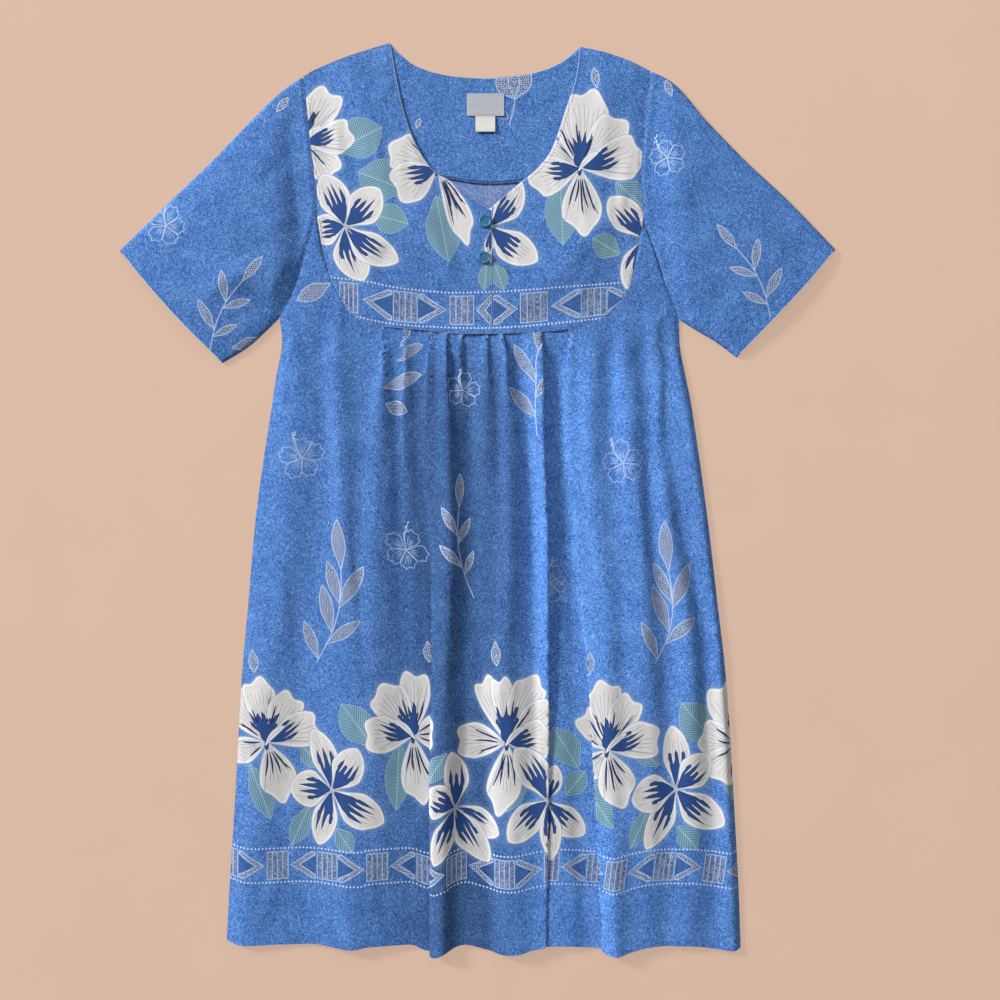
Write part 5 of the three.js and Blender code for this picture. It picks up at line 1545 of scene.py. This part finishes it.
def trimmed(pr, low, high, pad=4.0):
    """Only the shapes that reach into the box."""
    out = Print()
    low, high = np.asarray(low) - pad, np.asarray(high) + pad
    out.items = [it for it in pr.items if (it["high"] > low).all() and (it["low"] < high).all()]
    out.flowers = [f for f in pr.flowers if (f.max(0) > low).all() and (f.min(0) < high).all()]
    return out


def declare(ob, patches, times=1.0, flat=None):
    """Says how big the cloth was cut."""
    q = np.vstack([p.plan for p in patches])
    size = (q.max(0) - q.min(0)) * MM if flat is None else np.array(flat)
    area = flat_area(patches) * times
    area = min(area, size[0] * size[1])
    print("flat size", ob.name, np.round(size * 1000), "mm, area", round(float(area), 4), "m2", flush=True)


# ------------------------------------------------------------------ yokes
def yoke_runs(s):
    corner = (-197.0, 350.0) if s < 0 else (203.0, 347.0)
    arm = [p for p in side(ARMHOLE, s) if p[1] > corner[1] + 8] + [corner]
    end = FRONT_X if s < 0 else FRONT_X - UNDERLAP
    front = side(NECK_FRONT, s)
    front = front + [(end, front[-1][1] - (2 if s < 0 else 6))]
    if s < 0:
        edge = [p for p in YOKE_EDGE if p[0] <= -153]
        xs = np.linspace(-153, end, 58)
    else:
        edge = [p for p in YOKE_EDGE if p[0] >= 155.5][::-1]
        xs = np.linspace(155.5, end, 54)
    foot = np.stack([xs, yoke_edge_y(xs) + SEAM_GAP * np.minimum(1, np.linspace(0, 8, len(xs)))], -1)
    return dict(neck=along(front, 90), shoulder=along(side(SHOULDER, s), 30), arm=along(arm, 50), edge=along(edge, 45), foot=foot,
                front=np.array([(end, front[-1][1]), (end, foot[-1][1])]))


YOKE = {}
for s, word in ((-1, "left"), (1, "right")):
    r = yoke_runs(s)
    outline = closed(r["shoulder"], r["arm"], r["edge"], r["foot"], r["neck"][::-1])
    made = np.vstack([r["neck"], spaced(r["front"], 6.0)]) if s < 0 else r["neck"]
    lift = yoke_lift(s, made, np.vstack([r["shoulder"], r["arm"]]))

    def trims(pr, r=r, s=s):
        yoke_print(pr, s)
        # pale lines along the made edges, partly painted highlight
        pale_edge_and_highlight(pr, r["neck"], 1.3)
        if s < 0:
            pale_edge_and_highlight(pr, r["front"], 0.9)
        pale_edge_and_highlight(pr, r["edge"][6:], 0.7, 0.5)
        pale_edge_and_highlight(pr, r["foot"], 0.8, 0.5)
    pr = trimmed(printed(trims), outline.min(0), outline.max(0))
    free = np.vstack([net(outline.min(0), outline.max(0), 3.4, 3.6), rings(outline, 1.3, 2.9, 4.6), halo_points(pr)])
    patch = Patch(outline, pr, lift, free)
    ob = cloth("yoke_cloth_" + word, [patch], SHELL, nodes=["yoke_" + word])
    YOKE[s] = dict(runs=r, lift=lift, patch=patch, ob=ob)

def under_yoke(q):
    """Height just beneath the yokes at a place of the plan."""
    z = np.where(q[:, 0] < FRONT_X, YOKE[-1]["lift"](q)[:, 2], YOKE[1]["lift"](q)[:, 2])
    z = np.where(np.abs(q[:, 0] - FRONT_X + UNDERLAP / 2) < UNDERLAP / 2 + 1, YOKE[1]["lift"](q)[:, 2], z)
    return z - SHELL - 0.12


# ------------------------------------------------------------------ skirt
edge_slope = lambda x: np.hypot(1, np.clip((yoke_edge_y(x + 0.5) - yoke_edge_y(x - 0.5)), -7, 7))


def seam_row(p):
    """Level at which the cloth's line p meets the seam of the yoke."""
    q = np.full(len(p), 190.0)
    last = None
    done = np.zeros(len(p), bool)
    out = np.full(len(p), 349.5)
    for y in np.arange(190.0, 349.6, 1.5):
        x = look_up(table_x, p, np.full(len(p), y))
        under = mix(1.1 * edge_slope(x), -1.0, smooth((np.abs(x - 3) - 182) / 8))
        f = y - (yoke_edge_y(x) + under)
        if last is not None:
            hit = ~done & (f >= 0)
            t = last / (last - f + 1e-12)
            out[hit] = (y - 1.5 + 1.5 * t)[hit]
            done |= hit
        last = f
    return out


inset_left = lambda y: np.where(np.asarray(y) > 221, 0.30, 0.0)
inset_right = lambda y: np.where(np.asarray(y) > 221, 0.42, 0.0)
p_line = np.arange(-300.0, 330.0, 2.0)
top_line = np.stack([p_line, seam_row(p_line)], -1)
keep = (p_line > skirt_left(top_line[:, 1]) + 1.2) & (p_line < skirt_right(top_line[:, 1]) - 1.4)
top_line = top_line[keep]
left_y = np.append(np.arange(HEM_FLAT_Y, top_line[0, 1] - 2.5, 4.0), top_line[0, 1] - 1.2)
right_y = np.append(np.arange(HEM_FLAT_Y, top_line[-1, 1] - 2.5, 4.0), top_line[-1, 1] - 1.2)
left_run = np.stack([skirt_left(left_y) + inset_left(left_y), left_y], -1)
right_run = np.stack([skirt_right(right_y) - inset_right(right_y), right_y], -1)
outline = closed(left_run, top_line, right_run[::-1], step=4.0)
pr = trimmed(printed(skirt_print), outline.min(0), outline.max(0))
columns = []
for j in range(0, len(row_y), 3):
    s_row, knots = rows[j][0], (np.arange(len(rows[j][0])) % 8 == 0)
    p = s_row[knots]
    p = p[np.concatenate([[True], np.diff(p) > 1.2])]
    columns.append(np.stack([p, np.full(len(p), row_y[j])], -1))
free = np.vstack([np.vstack(columns), net(outline.min(0), outline.max(0), 6.8, 11.0), rings(outline, 1.4, 3.4), halo_points(pr, 5.0)])
patch = Patch(outline, pr, skirt_lift, free)
skirt_patch = patch
skirt = cloth("skirt_cloth", [patch], 0.5, nodes=["front_skirt"])


# ------------------------------------------------------------------ sleeves
def sleeve(s, word):
    plan, top, under, hole, cuff, lift = sleeve_surface(s)
    t = np.linspace(0, 1, 110)
    runs = dict(hole=plan(np.zeros(90), np.linspace(0, 1, 90)), under=plan(t, np.ones(110)), cuff=plan(np.ones(60), np.linspace(0, 1, 60)), top=plan(t, np.zeros(110)))
    centre = plan(np.array([0.5]), np.array([0.5]))[0]

    def moved(line, by):
        d = np.gradient(line, axis=0)
        n = np.stack([-d[:, 1], d[:, 0]], -1) / (np.hypot(*d.T)[:, None] + 1e-9)
        n *= np.sign(((centre - line) * n).sum(1))[:, None]
        return line + n * by
    hole_in = moved(runs["hole"], 0.12)
    top_in, under_in = moved(runs["top"], 1.0), moved(runs["under"], 1.0)
    cuff_in = runs["cuff"][2:-2]
    a = hole_in[(hole_in[:, 1] < top_in[0, 1] - 0.5) & (hole_in[:, 1] > under_in[0, 1] + 0.5)]
    outline = closed(a, under_in[1:], cuff_in[::-1], top_in[::-1][:-1], step=4.0)
    pr = trimmed(printed(lambda q: sleeve_print(q, s), lambda q: pale_edge_and_highlight(q, cuff_in, 1.6)), outline.min(0), outline.max(0))
    free = np.vstack([net(outline.min(0), outline.max(0), 4.0, 4.2), rings(outline, 1.3, 2.8, 4.8)])
    upper = Patch(outline, pr, lift, free)
    # the under layer shares the edge points of the upper one
    f = upper.tris
    n0 = len(upper.plan)
    e = np.vstack([f[:, [0, 1]], f[:, [1, 2]], f[:, [2, 0]]])
    e = e[~np.isin(e[:, 0] * n0 + e[:, 1], e[:, 1] * n0 + e[:, 0])]
    follow = dict(e.tolist())
    loop = [int(e[0, 0])]
    while follow[loop[-1]] != loop[0]:
        loop.append(follow[loop[-1]])
    rim = upper.plan[loop]
    low_z = lambda q: np.stack([q[:, 0], q[:, 1], np.full(len(q), 0.1)], -1)
    pr2 = Print()
    for it in printed(lambda q: sleeve_print(q, s)).items:
        pts = np.vstack(it["loops"])
        if inside(pts, [rim]).all() and (to_line(pts, np.vstack([rim, rim[:1]])) > 3.0).all():
            pr2.items.append(it)
    lower = Patch(rim, pr2, low_z, net(rim.min(0), rim.max(0), 7.0, 7.4), down=True)
    match = np.array([int(((lower.plan - p) ** 2).sum(1).argmin()) for p in rim])
    assert len(set(match.tolist())) == len(rim)
    # folded edges
    dt, du = to_line(rim, top_in), to_line(rim, under_in)
    folded = [dt[i] < 0.05 or du[i] < 0.05 for i in range(len(rim))]
    tangent = np.roll(rim, -1, 0) - np.roll(rim, 1, 0)
    out = np.stack([tangent[:, 1], -tangent[:, 0]], -1) / np.hypot(*tangent.T)[:, None]
    K = 4
    jv, jn, jf, jflat = [], [], [], []
    index = {}
    base = n0 + len(lower.plan)
    up_z, dn_z = upper.xyz[loop][:, 2], 0.1
    for i in range(len(rim)):
        if not folded[i]:
            continue
        ids = [loop[i]]
        for k in range(1, K + 1):
            an = math.pi * k / (K + 1)
            c, w = math.cos(an), math.sin(an)
            z = (up_z[i] + dn_z) / 2 + c * (up_z[i] - dn_z) / 2
            jv.append((rim[i, 0] + out[i, 0] * w * 1.0, rim[i, 1] + out[i, 1] * w * 1.0, z))
            jn.append((out[i, 0] * w, out[i, 1] * w, c))
            ids.append(base + len(jv) - 1)
        ids.append(n0 + int(match[i]))
        index[i] = ids
        for who, idx in ((upper, loop[i]), (lower, int(match[i]))):
            n = who.normal[idx] * (0.8, 0.8, 1.0) + np.array([out[i, 0], out[i, 1], 0]) * 0.8
            who.normal[idx] = n / np.linalg.norm(n)
    for i in range(len(rim)):
        j = (i + 1) % len(rim)
        if i in index and j in index:
            a, b = index[i], index[j]
            for k in range(K + 1):
                jf += [(a[k + 1], b[k], a[k]), (a[k + 1], b[k + 1], b[k])]
                d = [(rim[m] + out[m] * (k + o) * 0.9) * MM for m, o in ((i, 1), (j, 0), (i, 0))]
                g = [(rim[m] + out[m] * (k + o) * 0.9) * MM for m, o in ((i, 1), (j, 1), (j, 0))]
                jflat += [d, g]
    jn = np.array(jn)
    jn /= np.linalg.norm(jn, axis=1)[:, None]
    ob = cloth("sleeve_cloth_" + word, [upper, lower], SHELL, joins=(np.array(jv), jn, np.array(jf), np.array(jflat)), nodes=["sleeve_" + word])
    return dict(ob=ob, lift=lift, upper=upper, lower=lower, runs=runs, plan=plan, low=low_z)


SLEEVE = {s: sleeve(s, word) for s, word in ((-1, "left"), (1, "right"))}

# ------------------------------------------------------------------ back and facing
back_neck_y = cubic([p[0] for p in BACK_NECK], [p[1] for p in BACK_NECK])


def back_outline(s):
    edge = BACK_SEAM_X + s * 0.15
    neck = [p for p in BACK_NECK if (p[0] - edge) * s > 1]
    neck = (neck if s < 0 else neck[::-1]) + [(edge, float(back_neck_y(edge)))]
    ys = np.linspace(side(ARMHOLE, s)[-1][1], HEM_Y, 130)
    down_ = np.stack([side_x[s](ys), ys], -1)
    return closed(along(side(SHOULDER, s), 30), along(side(ARMHOLE, s), 70), down_, [(edge, HEM_Y)], along(neck, 30)[::-1], step=5.0)


def back_print(pr):
    hem_print(pr, at, -320.0, 330.0)
    for n, (x, y, r, deg) in enumerate(((300, 470, 27, 40), (430, 380, 25, 100), (620, 520, 27, 10), (660, 330, 24, 60), (350, 250, 26, 80), (560, 200, 26, 20), (450, 560, 24, 0))):
        outline_flower(pr, *at(x, y), r, deg, 160 + n)
    for x, y, lean in ((330, 668, 80), (640, 668, 98), (520, 330, 96), (400, 300, 84)):
        sprig(pr, *at(x, y), 96, lean, SPRIG[:5], 1)


def back_lift(q):
    x, y = q[:, 0], q[:, 1]
    wave = 0.10 * lattice(x, y * 0.6, 14.0, 77) * smooth((y - 330) / 30)
    return np.stack([x, y, 0.12 + np.maximum(wave, -0.05)], -1)


BACK = {}
for s, word in ((-1, "left"), (1, "right")):
    outline = back_outline(s)
    pr = trimmed(printed(back_print), outline.min(0), outline.max(0))
    patch = Patch(outline, pr, back_lift, np.vstack([net(outline.min(0), outline.max(0), 8.0, 8.0), rings(outline, 2.0)]), down=True)
    ob = cloth("back_cloth_" + word, [patch], 0.7, nodes=["back_" + word])
    BACK[s] = dict(ob=ob, patch=patch)

facing_low = along(FACING_OUTER, 160)
facing_neck = along(BACK_NECK, 90)


def facing_print(pr):
    sprig_at = at(515, 98)
    for deg, long, wide in ((126, 38, 22), (62, 40, 21), (94, 40, 15)):
        speckled(pr, sprig_at, math.radians(deg), long, wide)
    stem = along([at(515, 97), at(514, 108), at(509, 124)], 10)
    pr.add(ribbon(stem, 1.2), "line", 0.8)
    pr.add(ribbon(along([at(516, 97), at(512, 110), at(510, 124)], 10), 0.9), "line", 0.6)
    pr.add(ribbon(along([at(500, 107), at(507, 112), at(508, 118), at(500, 118)], 10), 0.9), "line", 0.5)
    speckled(pr, at(416, 128), math.radians(70), 14, 7)
    pale_edge_and_highlight(pr, facing_neck, 1.2)


def facing_lift(q):
    x, y = q[:, 0], q[:, 1]
    z = 2.3 + 0.22 * (0.6 * lattice(x, y * 0.7, 17.0, 91) + 0.4 * lattice(x, y, 7.0, 92))
    z = z + 0.25 * np.exp(-((x - 9 - 0.3 * (y - 450)) / 20) ** 2) * smooth((460 - y) / 30)
    dn = to_line(q, facing_neck)
    z = z - 0.35 * np.exp(-(dn / 0.9) ** 2) - 0.2 * np.exp(-((dn - 4.4) / 0.8) ** 2)
    dl = to_line(q, facing_low)
    z = z + 0.18 * np.exp(-((dl - 1.8) / 1.6) ** 2) - 0.15 * np.exp(-((dl - 4.2) / 0.7) ** 2)
    return np.stack([x, y, np.minimum(z, 2.62)], -1)


outline = closed(facing_neck, facing_low[::-1], step=3.5)
pr = printed(facing_print)
facing_patch = Patch(outline, pr, facing_lift, np.vstack([net(outline.min(0), outline.max(0), 3.6, 3.8), rings(outline, 1.2, 2.8, 4.6)]))
facing = cloth("neck_facing_cloth", [facing_patch], 0.65, nodes=["back_neck_facing"])


# ------------------------------------------------------------------ labels
def box_outline(b, step=2.0):
    return closed([(b["left"], b["bottom"]), (b["right"], b["bottom"]), (b["right"], b["top"]), (b["left"], b["top"])], step=step)


def label_lift(q):
    x, y = q[:, 0], q[:, 1]
    u = (x - LABEL["left"]) / (LABEL["right"] - LABEL["left"])
    v = (LABEL["top"] - y) / (LABEL["top"] - LABEL["bottom"])
    z = 3.5 + 0.45 * smooth((v - 0.72) / 0.3) * (0.4 + 0.6 * np.abs(2 * u - 1) ** 2) + 0.10 * lattice(x, y, 6.0, 120)
    edge = np.minimum(np.minimum(x - LABEL["left"], LABEL["right"] - x), np.minimum(LABEL["top"] - y, y - LABEL["bottom"]))
    z = z - 0.22 * np.exp(-(np.maximum(edge, 0) / 0.6) ** 2) - 0.10 * np.exp(-((edge - 2.4) / 0.4) ** 2)
    return np.stack([x, y, z], -1)


outline = box_outline(LABEL)
label_patch = Patch(outline, Print(), label_lift, np.vstack([net(outline.min(0), outline.max(0), 1.5, 1.5), rings(outline, 0.7)]), step=(0.5, 0.5))
label = cloth("neck_label_cloth", [label_patch], 0.45, materials=[LABEL_CLOTH, LABEL_CLOTH], nodes=["neck_label"])

TAB_LONG = TAB["top"] - TAB["bottom"]


def tab_lift(q):
    """The strip is folded in two at its foot: first the layer beneath, then the one on top."""
    x, t = q[:, 0], q[:, 1]
    r = 0.5
    lay = TAB_LONG - 0.6
    turn_ = math.pi * r
    a = np.clip((t - lay) / turn_, 0, 1) * math.pi
    y = np.where(t < lay, TAB["top"] - t, np.where(t > lay + turn_, TAB["bottom"] + 0.6 + (t - lay - turn_), TAB["bottom"] + 0.6 - r * np.sin(a)))
    z = 3.0 + r - r * np.cos(a)
    v = (TAB["top"] - y) / TAB_LONG
    z = z + 1.25 * smooth((v - 0.15) / 0.85) + 0.08 * lattice(x, y, 6.0, 130) * (t > lay + turn_)
    return np.stack([x, y, z], -1)


tab_flat = 2 * (TAB_LONG - 0.6) + math.pi * 0.5
outline = closed([(TAB["left"], 0), (TAB["right"], 0), (TAB["right"], tab_flat), (TAB["left"], tab_flat)], step=1.2)
tab_patch = Patch(outline, Print(), tab_lift, np.vstack([net(outline.min(0), outline.max(0), 1.6, 0.9), rings(outline, 0.6)]), step=(0.3, 0.15))
tab = cloth("size_tab_cloth", [tab_patch], 0.3, materials=[TAB_CLOTH, TAB_CLOTH], nodes=["size_tab"])


# ------------------------------------------------------------------ buttons
def tubes(name, lines, radius, material, k=6):
    """Round threads along lines of points, joined in one mesh."""
    verts, faces = [], []
    for line in lines:
        p = np.asarray(line, float)
        t = np.gradient(p, axis=0)
        t /= np.linalg.norm(t, axis=1)[:, None] + 1e-9
        ref = np.array([0, 0, 1.0])
        a = np.cross(t, ref)
        bad = np.linalg.norm(a, axis=1) < 0.1
        a[bad] = np.cross(t[bad], [1.0, 0, 0])
        a /= np.linalg.norm(a, axis=1)[:, None]
        b = np.cross(a, t)
        s0 = sum(len(v) for v in verts)
        ring = [p + (a * math.cos(2 * math.pi * j / k) + b * math.sin(2 * math.pi * j / k)) * radius for j in range(k)]
        verts.append(np.stack(ring, 1).reshape(-1, 3))
        n = len(p)
        for i in range(n - 1):
            for j in range(k):
                u, v = s0 + i * k + j, s0 + i * k + (j + 1) % k
                faces += [(u, v, v + k), (u, v + k, u + k)]
        for j in range(1, k - 1):
            faces += [(s0, s0 + j + 1, s0 + j), (s0 + (n - 1) * k, s0 + (n - 1) * k + j, s0 + (n - 1) * k + j + 1)]
    verts, faces = np.vstack(verts), np.array(faces)
    c = verts[faces[0]].mean(0)
    ob = loose(name, material, verts, faces)
    fix_normals(ob)
    return ob


def fix_normals(ob):
    """Turns every closed shell so that its faces look outward."""
    import bmesh
    bm = bmesh.new()
    bm.from_mesh(ob.data)
    bmesh.ops.recalc_face_normals(bm, faces=bm.faces)
    bm.to_mesh(ob.data)
    bm.free()


def button(name, node_name, x, y, z, lean):
    """A dished disc with a rounded rim, held by a short shank of thread."""
    R, H = BUTTON_R - 0.2, BUTTON_H - 0.3
    rim_w = 1.15
    prof = [(0.0, 0.30), (R * 0.35, 0.24), (R * 0.68, 0.12), (R - 1.7, 0.10)]
    prof += [(R - rim_w + rim_w * math.sin(a), 1.2 - 1.1 * math.cos(a)) for a in np.linspace(0.25, math.pi / 2, 6)]
    prof += [(R - 1.0 + 1.0 * math.cos(a), H - 1.0 + 1.0 * math.sin(a)) for a in np.linspace(0.12, 1.75, 9)]
    prof += [(R - 1.75, H - 0.28), (R - 2.1, H - 0.52), (R - 2.6, H - 0.62), (R * 0.45, H - 0.66), (R * 0.22, H - 0.62), (0.0, H - 0.60)]
    prof = np.array(prof)
    n = 88
    ang = np.linspace(0, 2 * math.pi, n, endpoint=False)
    verts = [(x, y, z + prof[0, 1])]
    for r, h in prof[1:-1]:
        verts += [(x + r * math.cos(a), y + r * math.sin(a), z + h + lean * r * math.cos(a)) for a in ang]
    verts.append((x, y, z + prof[-1, 1]))
    m = len(prof) - 2
    faces = [(0, 1 + (j + 1) % n, 1 + j) for j in range(n)]
    for i in range(m - 1):
        for j in range(n):
            a, b = 1 + i * n + j, 1 + i * n + (j + 1) % n
            faces += [(a, b, b + n), (a, b + n, a + n)]
    last = len(verts) - 1
    faces += [(1 + (m - 1) * n + j, 1 + (m - 1) * n + (j + 1) % n, last) for j in range(n)]
    ob = new_object(name, verts, faces, [BUTTON_RESIN])
    fix_normals(ob)
    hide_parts(node_name)
    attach(ob, "root")
    lines = [[(x + 0.8 * math.cos(a), y + 0.8 * math.sin(a), z - 0.45), (x + 0.55 * math.cos(a + 0.5), y + 0.55 * math.sin(a + 0.5), z - 0.05), (x + 0.6 * math.cos(a + 1.0), y + 0.6 * math.sin(a + 1.0), z + 0.5)] for a in np.linspace(0, 2 * math.pi, 7, endpoint=False)]
    return ob, tubes(name + "_shank", lines, 0.24, THREAD_BLUE)


BUTTON = []
for (node_name, x, y), lean in zip(BUTTONS, (0.025, -0.02)):
    zc = float(yoke_z(np.array([x]), np.array([y]))[0] + lap_rise(np.array([x]))[0]) + FACE + 0.35
    BUTTON.append(button(node_name + "_piece", node_name, x, y, zc, lean))


# ------------------------------------------------------------------ stitches
def raised(lift, e=0.6):
    def ends(q):
        a = lift(q)
        n = np.cross(lift(q + (e, 0)) - lift(q - (e, 0)), lift(q + (0, e)) - lift(q - (0, e)))
        n /= np.linalg.norm(n, axis=1)[:, None] + 1e-9
        return a, n
    return ends


def stitches(name, lines, lift, long=2.7, gap=0.9, radius=0.2, material=None, seed=1, jitter=0.10, flip=False):
    """Rows of stitches along lines of the flat cloth, joined in one piece."""
    A, B, U = [], [], []
    rng = np.random.default_rng(seed)
    for line in lines:
        p = np.asarray(line, float)
        s = np.concatenate([[0], np.cumsum(np.hypot(*np.diff(p, axis=0).T))])
        v = np.arange(1.0, s[-1] - long - 1.0, long + gap)
        spot = lambda v: np.stack([np.interp(v, s, p[:, 0]), np.interp(v, s, p[:, 1])], -1) + rng.uniform(-jitter, jitter, (len(v), 2))
        ends = raised(lift)
        a, na = ends(spot(v))
        b, nb = ends(spot(v + long))
        n = na + nb
        if flip:
            n = -np.abs(n) * (0, 0, 1)
        n /= np.linalg.norm(n, axis=1)[:, None] + 1e-9
        A.append(a); B.append(b); U.append(n)
    return threads(name, np.vstack(A), np.vstack(B), np.vstack(U), radius, material or THREAD_BLUE)


def beside(line, by):
    """The line moved to its left by that much."""
    p = np.asarray(line, float)
    d = np.gradient(p, axis=0)
    return p + np.stack([-d[:, 1], d[:, 0]], -1) / (np.hypot(*d.T)[:, None] + 1e-9) * by


r, l = YOKE[-1]["runs"], YOKE[-1]["lift"]
yl_rows = [beside(r["neck"], -4.2)[2:-3], beside(spaced(r["front"], 4.0), -4.0)[1:-1], beside(r["foot"], 4.4)[3:-2], beside(r["edge"], 2.6)[2:-2], beside(r["arm"], 3.6)[2:-1]]
stitch_yl = stitches("yoke_stitches_left", yl_rows, l, seed=3)
r, l = YOKE[1]["runs"], YOKE[1]["lift"]
yr_rows = [beside(r["neck"], 4.2)[2:-3], beside(r["foot"], -4.4)[3:-2], beside(r["edge"], -2.6)[2:-2], beside(r["arm"], -3.6)[2:-1]]
stitch_yr = stitches("yoke_stitches_right", yr_rows, l, seed=4)
hem_run = np.stack([np.arange(float(skirt_left(-526.0)) + 2, float(skirt_right(-526.0)) - 2, 3.0)] * 2, -1)
hem_run[:, 1] = HEM_FLAT_Y + 15
stitch_hem = stitches("skirt_hem_stitches", [hem_run], skirt_lift, long=2.9, gap=1.0, seed=5, radius=0.22)
for s, word in ((-1, "left"), (1, "right")):
    d = SLEEVE[s]
    cuff_run = d["runs"]["cuff"]
    centre = d["plan"](np.array([0.5]), np.array([0.5]))[0]
    line = beside(cuff_run, 14.0)
    if np.hypot(*(line.mean(0) - centre)) > np.hypot(*(cuff_run.mean(0) - centre)):
        line = beside(cuff_run, -14.0)
    top_rows = [line[2:-2]]
    stitches("sleeve_hem_stitches_" + word, top_rows, d["lift"], long=2.9, gap=1.0, seed=6 + s, radius=0.22)
stitch_facing = stitches("facing_stitches", [beside(facing_neck, -4.4)[3:-3], beside(facing_low, 4.2)[3:-3]], facing_lift, seed=9)
line = spaced(beside(facing_low, 0.9), 1.5)[2:-2]
d = np.gradient(line, axis=0)
n = np.stack([-d[:, 1], d[:, 0]], -1) / np.hypot(*d.T)[:, None]
w = np.where(np.arange(len(line)) % 2 == 0, -1.3, 1.7)
z = facing_lift(line + n * np.maximum(w, 0)[:, None])[:, 2]
zig = [np.column_stack([line + n * w[:, None], z + np.where(w < 0, -0.25, 0.20)])]
over_rows = [np.column_stack([line + n * 1.8, facing_lift(line + n * 1.8)[:, 2] + 0.18]), np.column_stack([line - n * 1.1, z - 0.05])]
overlock = tubes("facing_overlock", zig + over_rows, 0.26, THREAD_DARK, k=5)
# the pressed seam down the middle of the back, on the wrong side
ys = np.arange(HEM_Y + 4, 512.0, 4.0)
back_top = lambda q: back_lift(q) + (0, 0, 0.72)
seam_back = stitches("back_seam_stitches", [np.stack([np.full(len(ys), BACK_SEAM_X - 1.2), ys], -1)], back_top, long=2.6, gap=0.5, radius=0.28, material=THREAD_PALE, seed=12, jitter=0.06)
b = LABEL
ring_ = box_outline({"left": b["left"] + 2.4, "right": b["right"] - 2.4, "top": b["top"] - 2.4, "bottom": b["bottom"] + 2.4})
stitch_label = stitches("label_stitches", [np.vstack([ring_, ring_[:1]])], label_lift, long=2.0, gap=0.7, radius=0.14, material=THREAD_PALE, seed=14, jitter=0.05)

# ------------------------------------------------------------------ what each cloth was cut to
declare(YOKE[-1]["ob"], [YOKE[-1]["patch"]])
declare(YOKE[1]["ob"], [YOKE[1]["patch"]])
declare(skirt, [skirt_patch])
for s in (-1, 1):
    d = SLEEVE[s]
    q = d["upper"].plan
    side_ = np.hypot(*(d["runs"]["top"][-1] - d["runs"]["top"][0])) * MM
    girth = 2 * max(np.sum(np.hypot(*np.diff(d["runs"]["hole"], axis=0).T)), 0) * MM
    declare(d["ob"], [d["upper"]], times=2.0, flat=(girth, side_))
    declare(BACK[s]["ob"], [BACK[s]["patch"]])
declare(facing, [facing_patch])
declare(label, [label_patch])
declare(tab, [tab_patch])

# ------------------------------------------------------------------ stage
floor_mesh = bpy.data.meshes.new("floor")
floor_mesh.from_pydata([(-3, -3, -0.0003), (3, -3, -0.0003), (3, 3, -0.0003), (-3, 3, -0.0003)], [], [(0, 1, 2, 3)])
floor = bpy.data.objects.new("floor", floor_mesh)
bpy.context.scene.collection.objects.link(floor)
n = Net("paper_floor")
mm = object_mm(n)
f = n.noise(mm, 0.01, 2.0, 0.5, 0.0, "3D")
paper = n.ramp(f, ((0.2, (220, 188, 167)), (0.8, (222, 190, 169))))
dim = node(n.tree, "ShaderNodeVectorMath", operation="SCALE")
dim.inputs[3].default_value = 0.30
n.link(paper, dim.inputs[0])
n.link(dim.outputs[0], n.bsdf.inputs["Base Color"])
n.link(paper, n.bsdf.inputs["Emission Color"])
n.bsdf.inputs["Emission Strength"].default_value = 0.72
floor_mesh.materials.append(n.finish(0.95, 0.0, 0.0))

world = bpy.data.worlds.new("room")
bpy.context.scene.world = world
world.use_nodes = True
world.node_tree.nodes["Background"].inputs[0].default_value = (1.0, 1.0, 1.0, 1.0)
world.node_tree.nodes["Background"].inputs[1].default_value = 0.20


def lamp(name, place, target, size, power, colour=(1, 1, 1)):
    d = bpy.data.lights.new(name, "AREA")
    d.shape = "DISK"
    d.size, d.energy, d.color = size, power, colour
    o = bpy.data.objects.new(name, d)
    o.location = place
    o.rotation_euler = (Vector(target) - Vector(place)).to_track_quat("-Z", "Y").to_euler()
    bpy.context.scene.collection.objects.link(o)
    return o


lamp("key", (-8.0, 4.5, 4.0), (0, 0, 0), 2.1, 1240.0)
lamp("fill", (0.5, 2.3, 1.8), (0, 0.1, 0), 1.6, 19.0)

camera_data = bpy.data.cameras.new("camera")
camera_data.lens, camera_data.sensor_width = 50.0, 36.0
camera = bpy.data.objects.new("camera", camera_data)
camera.location = (0.02745, -0.0003, 1.7005)
camera.rotation_euler = (0.0, 0.0, 0.0)
bpy.context.scene.collection.objects.link(camera)
bpy.context.scene.camera = camera
bpy.context.scene.view_settings.view_transform = "Standard"
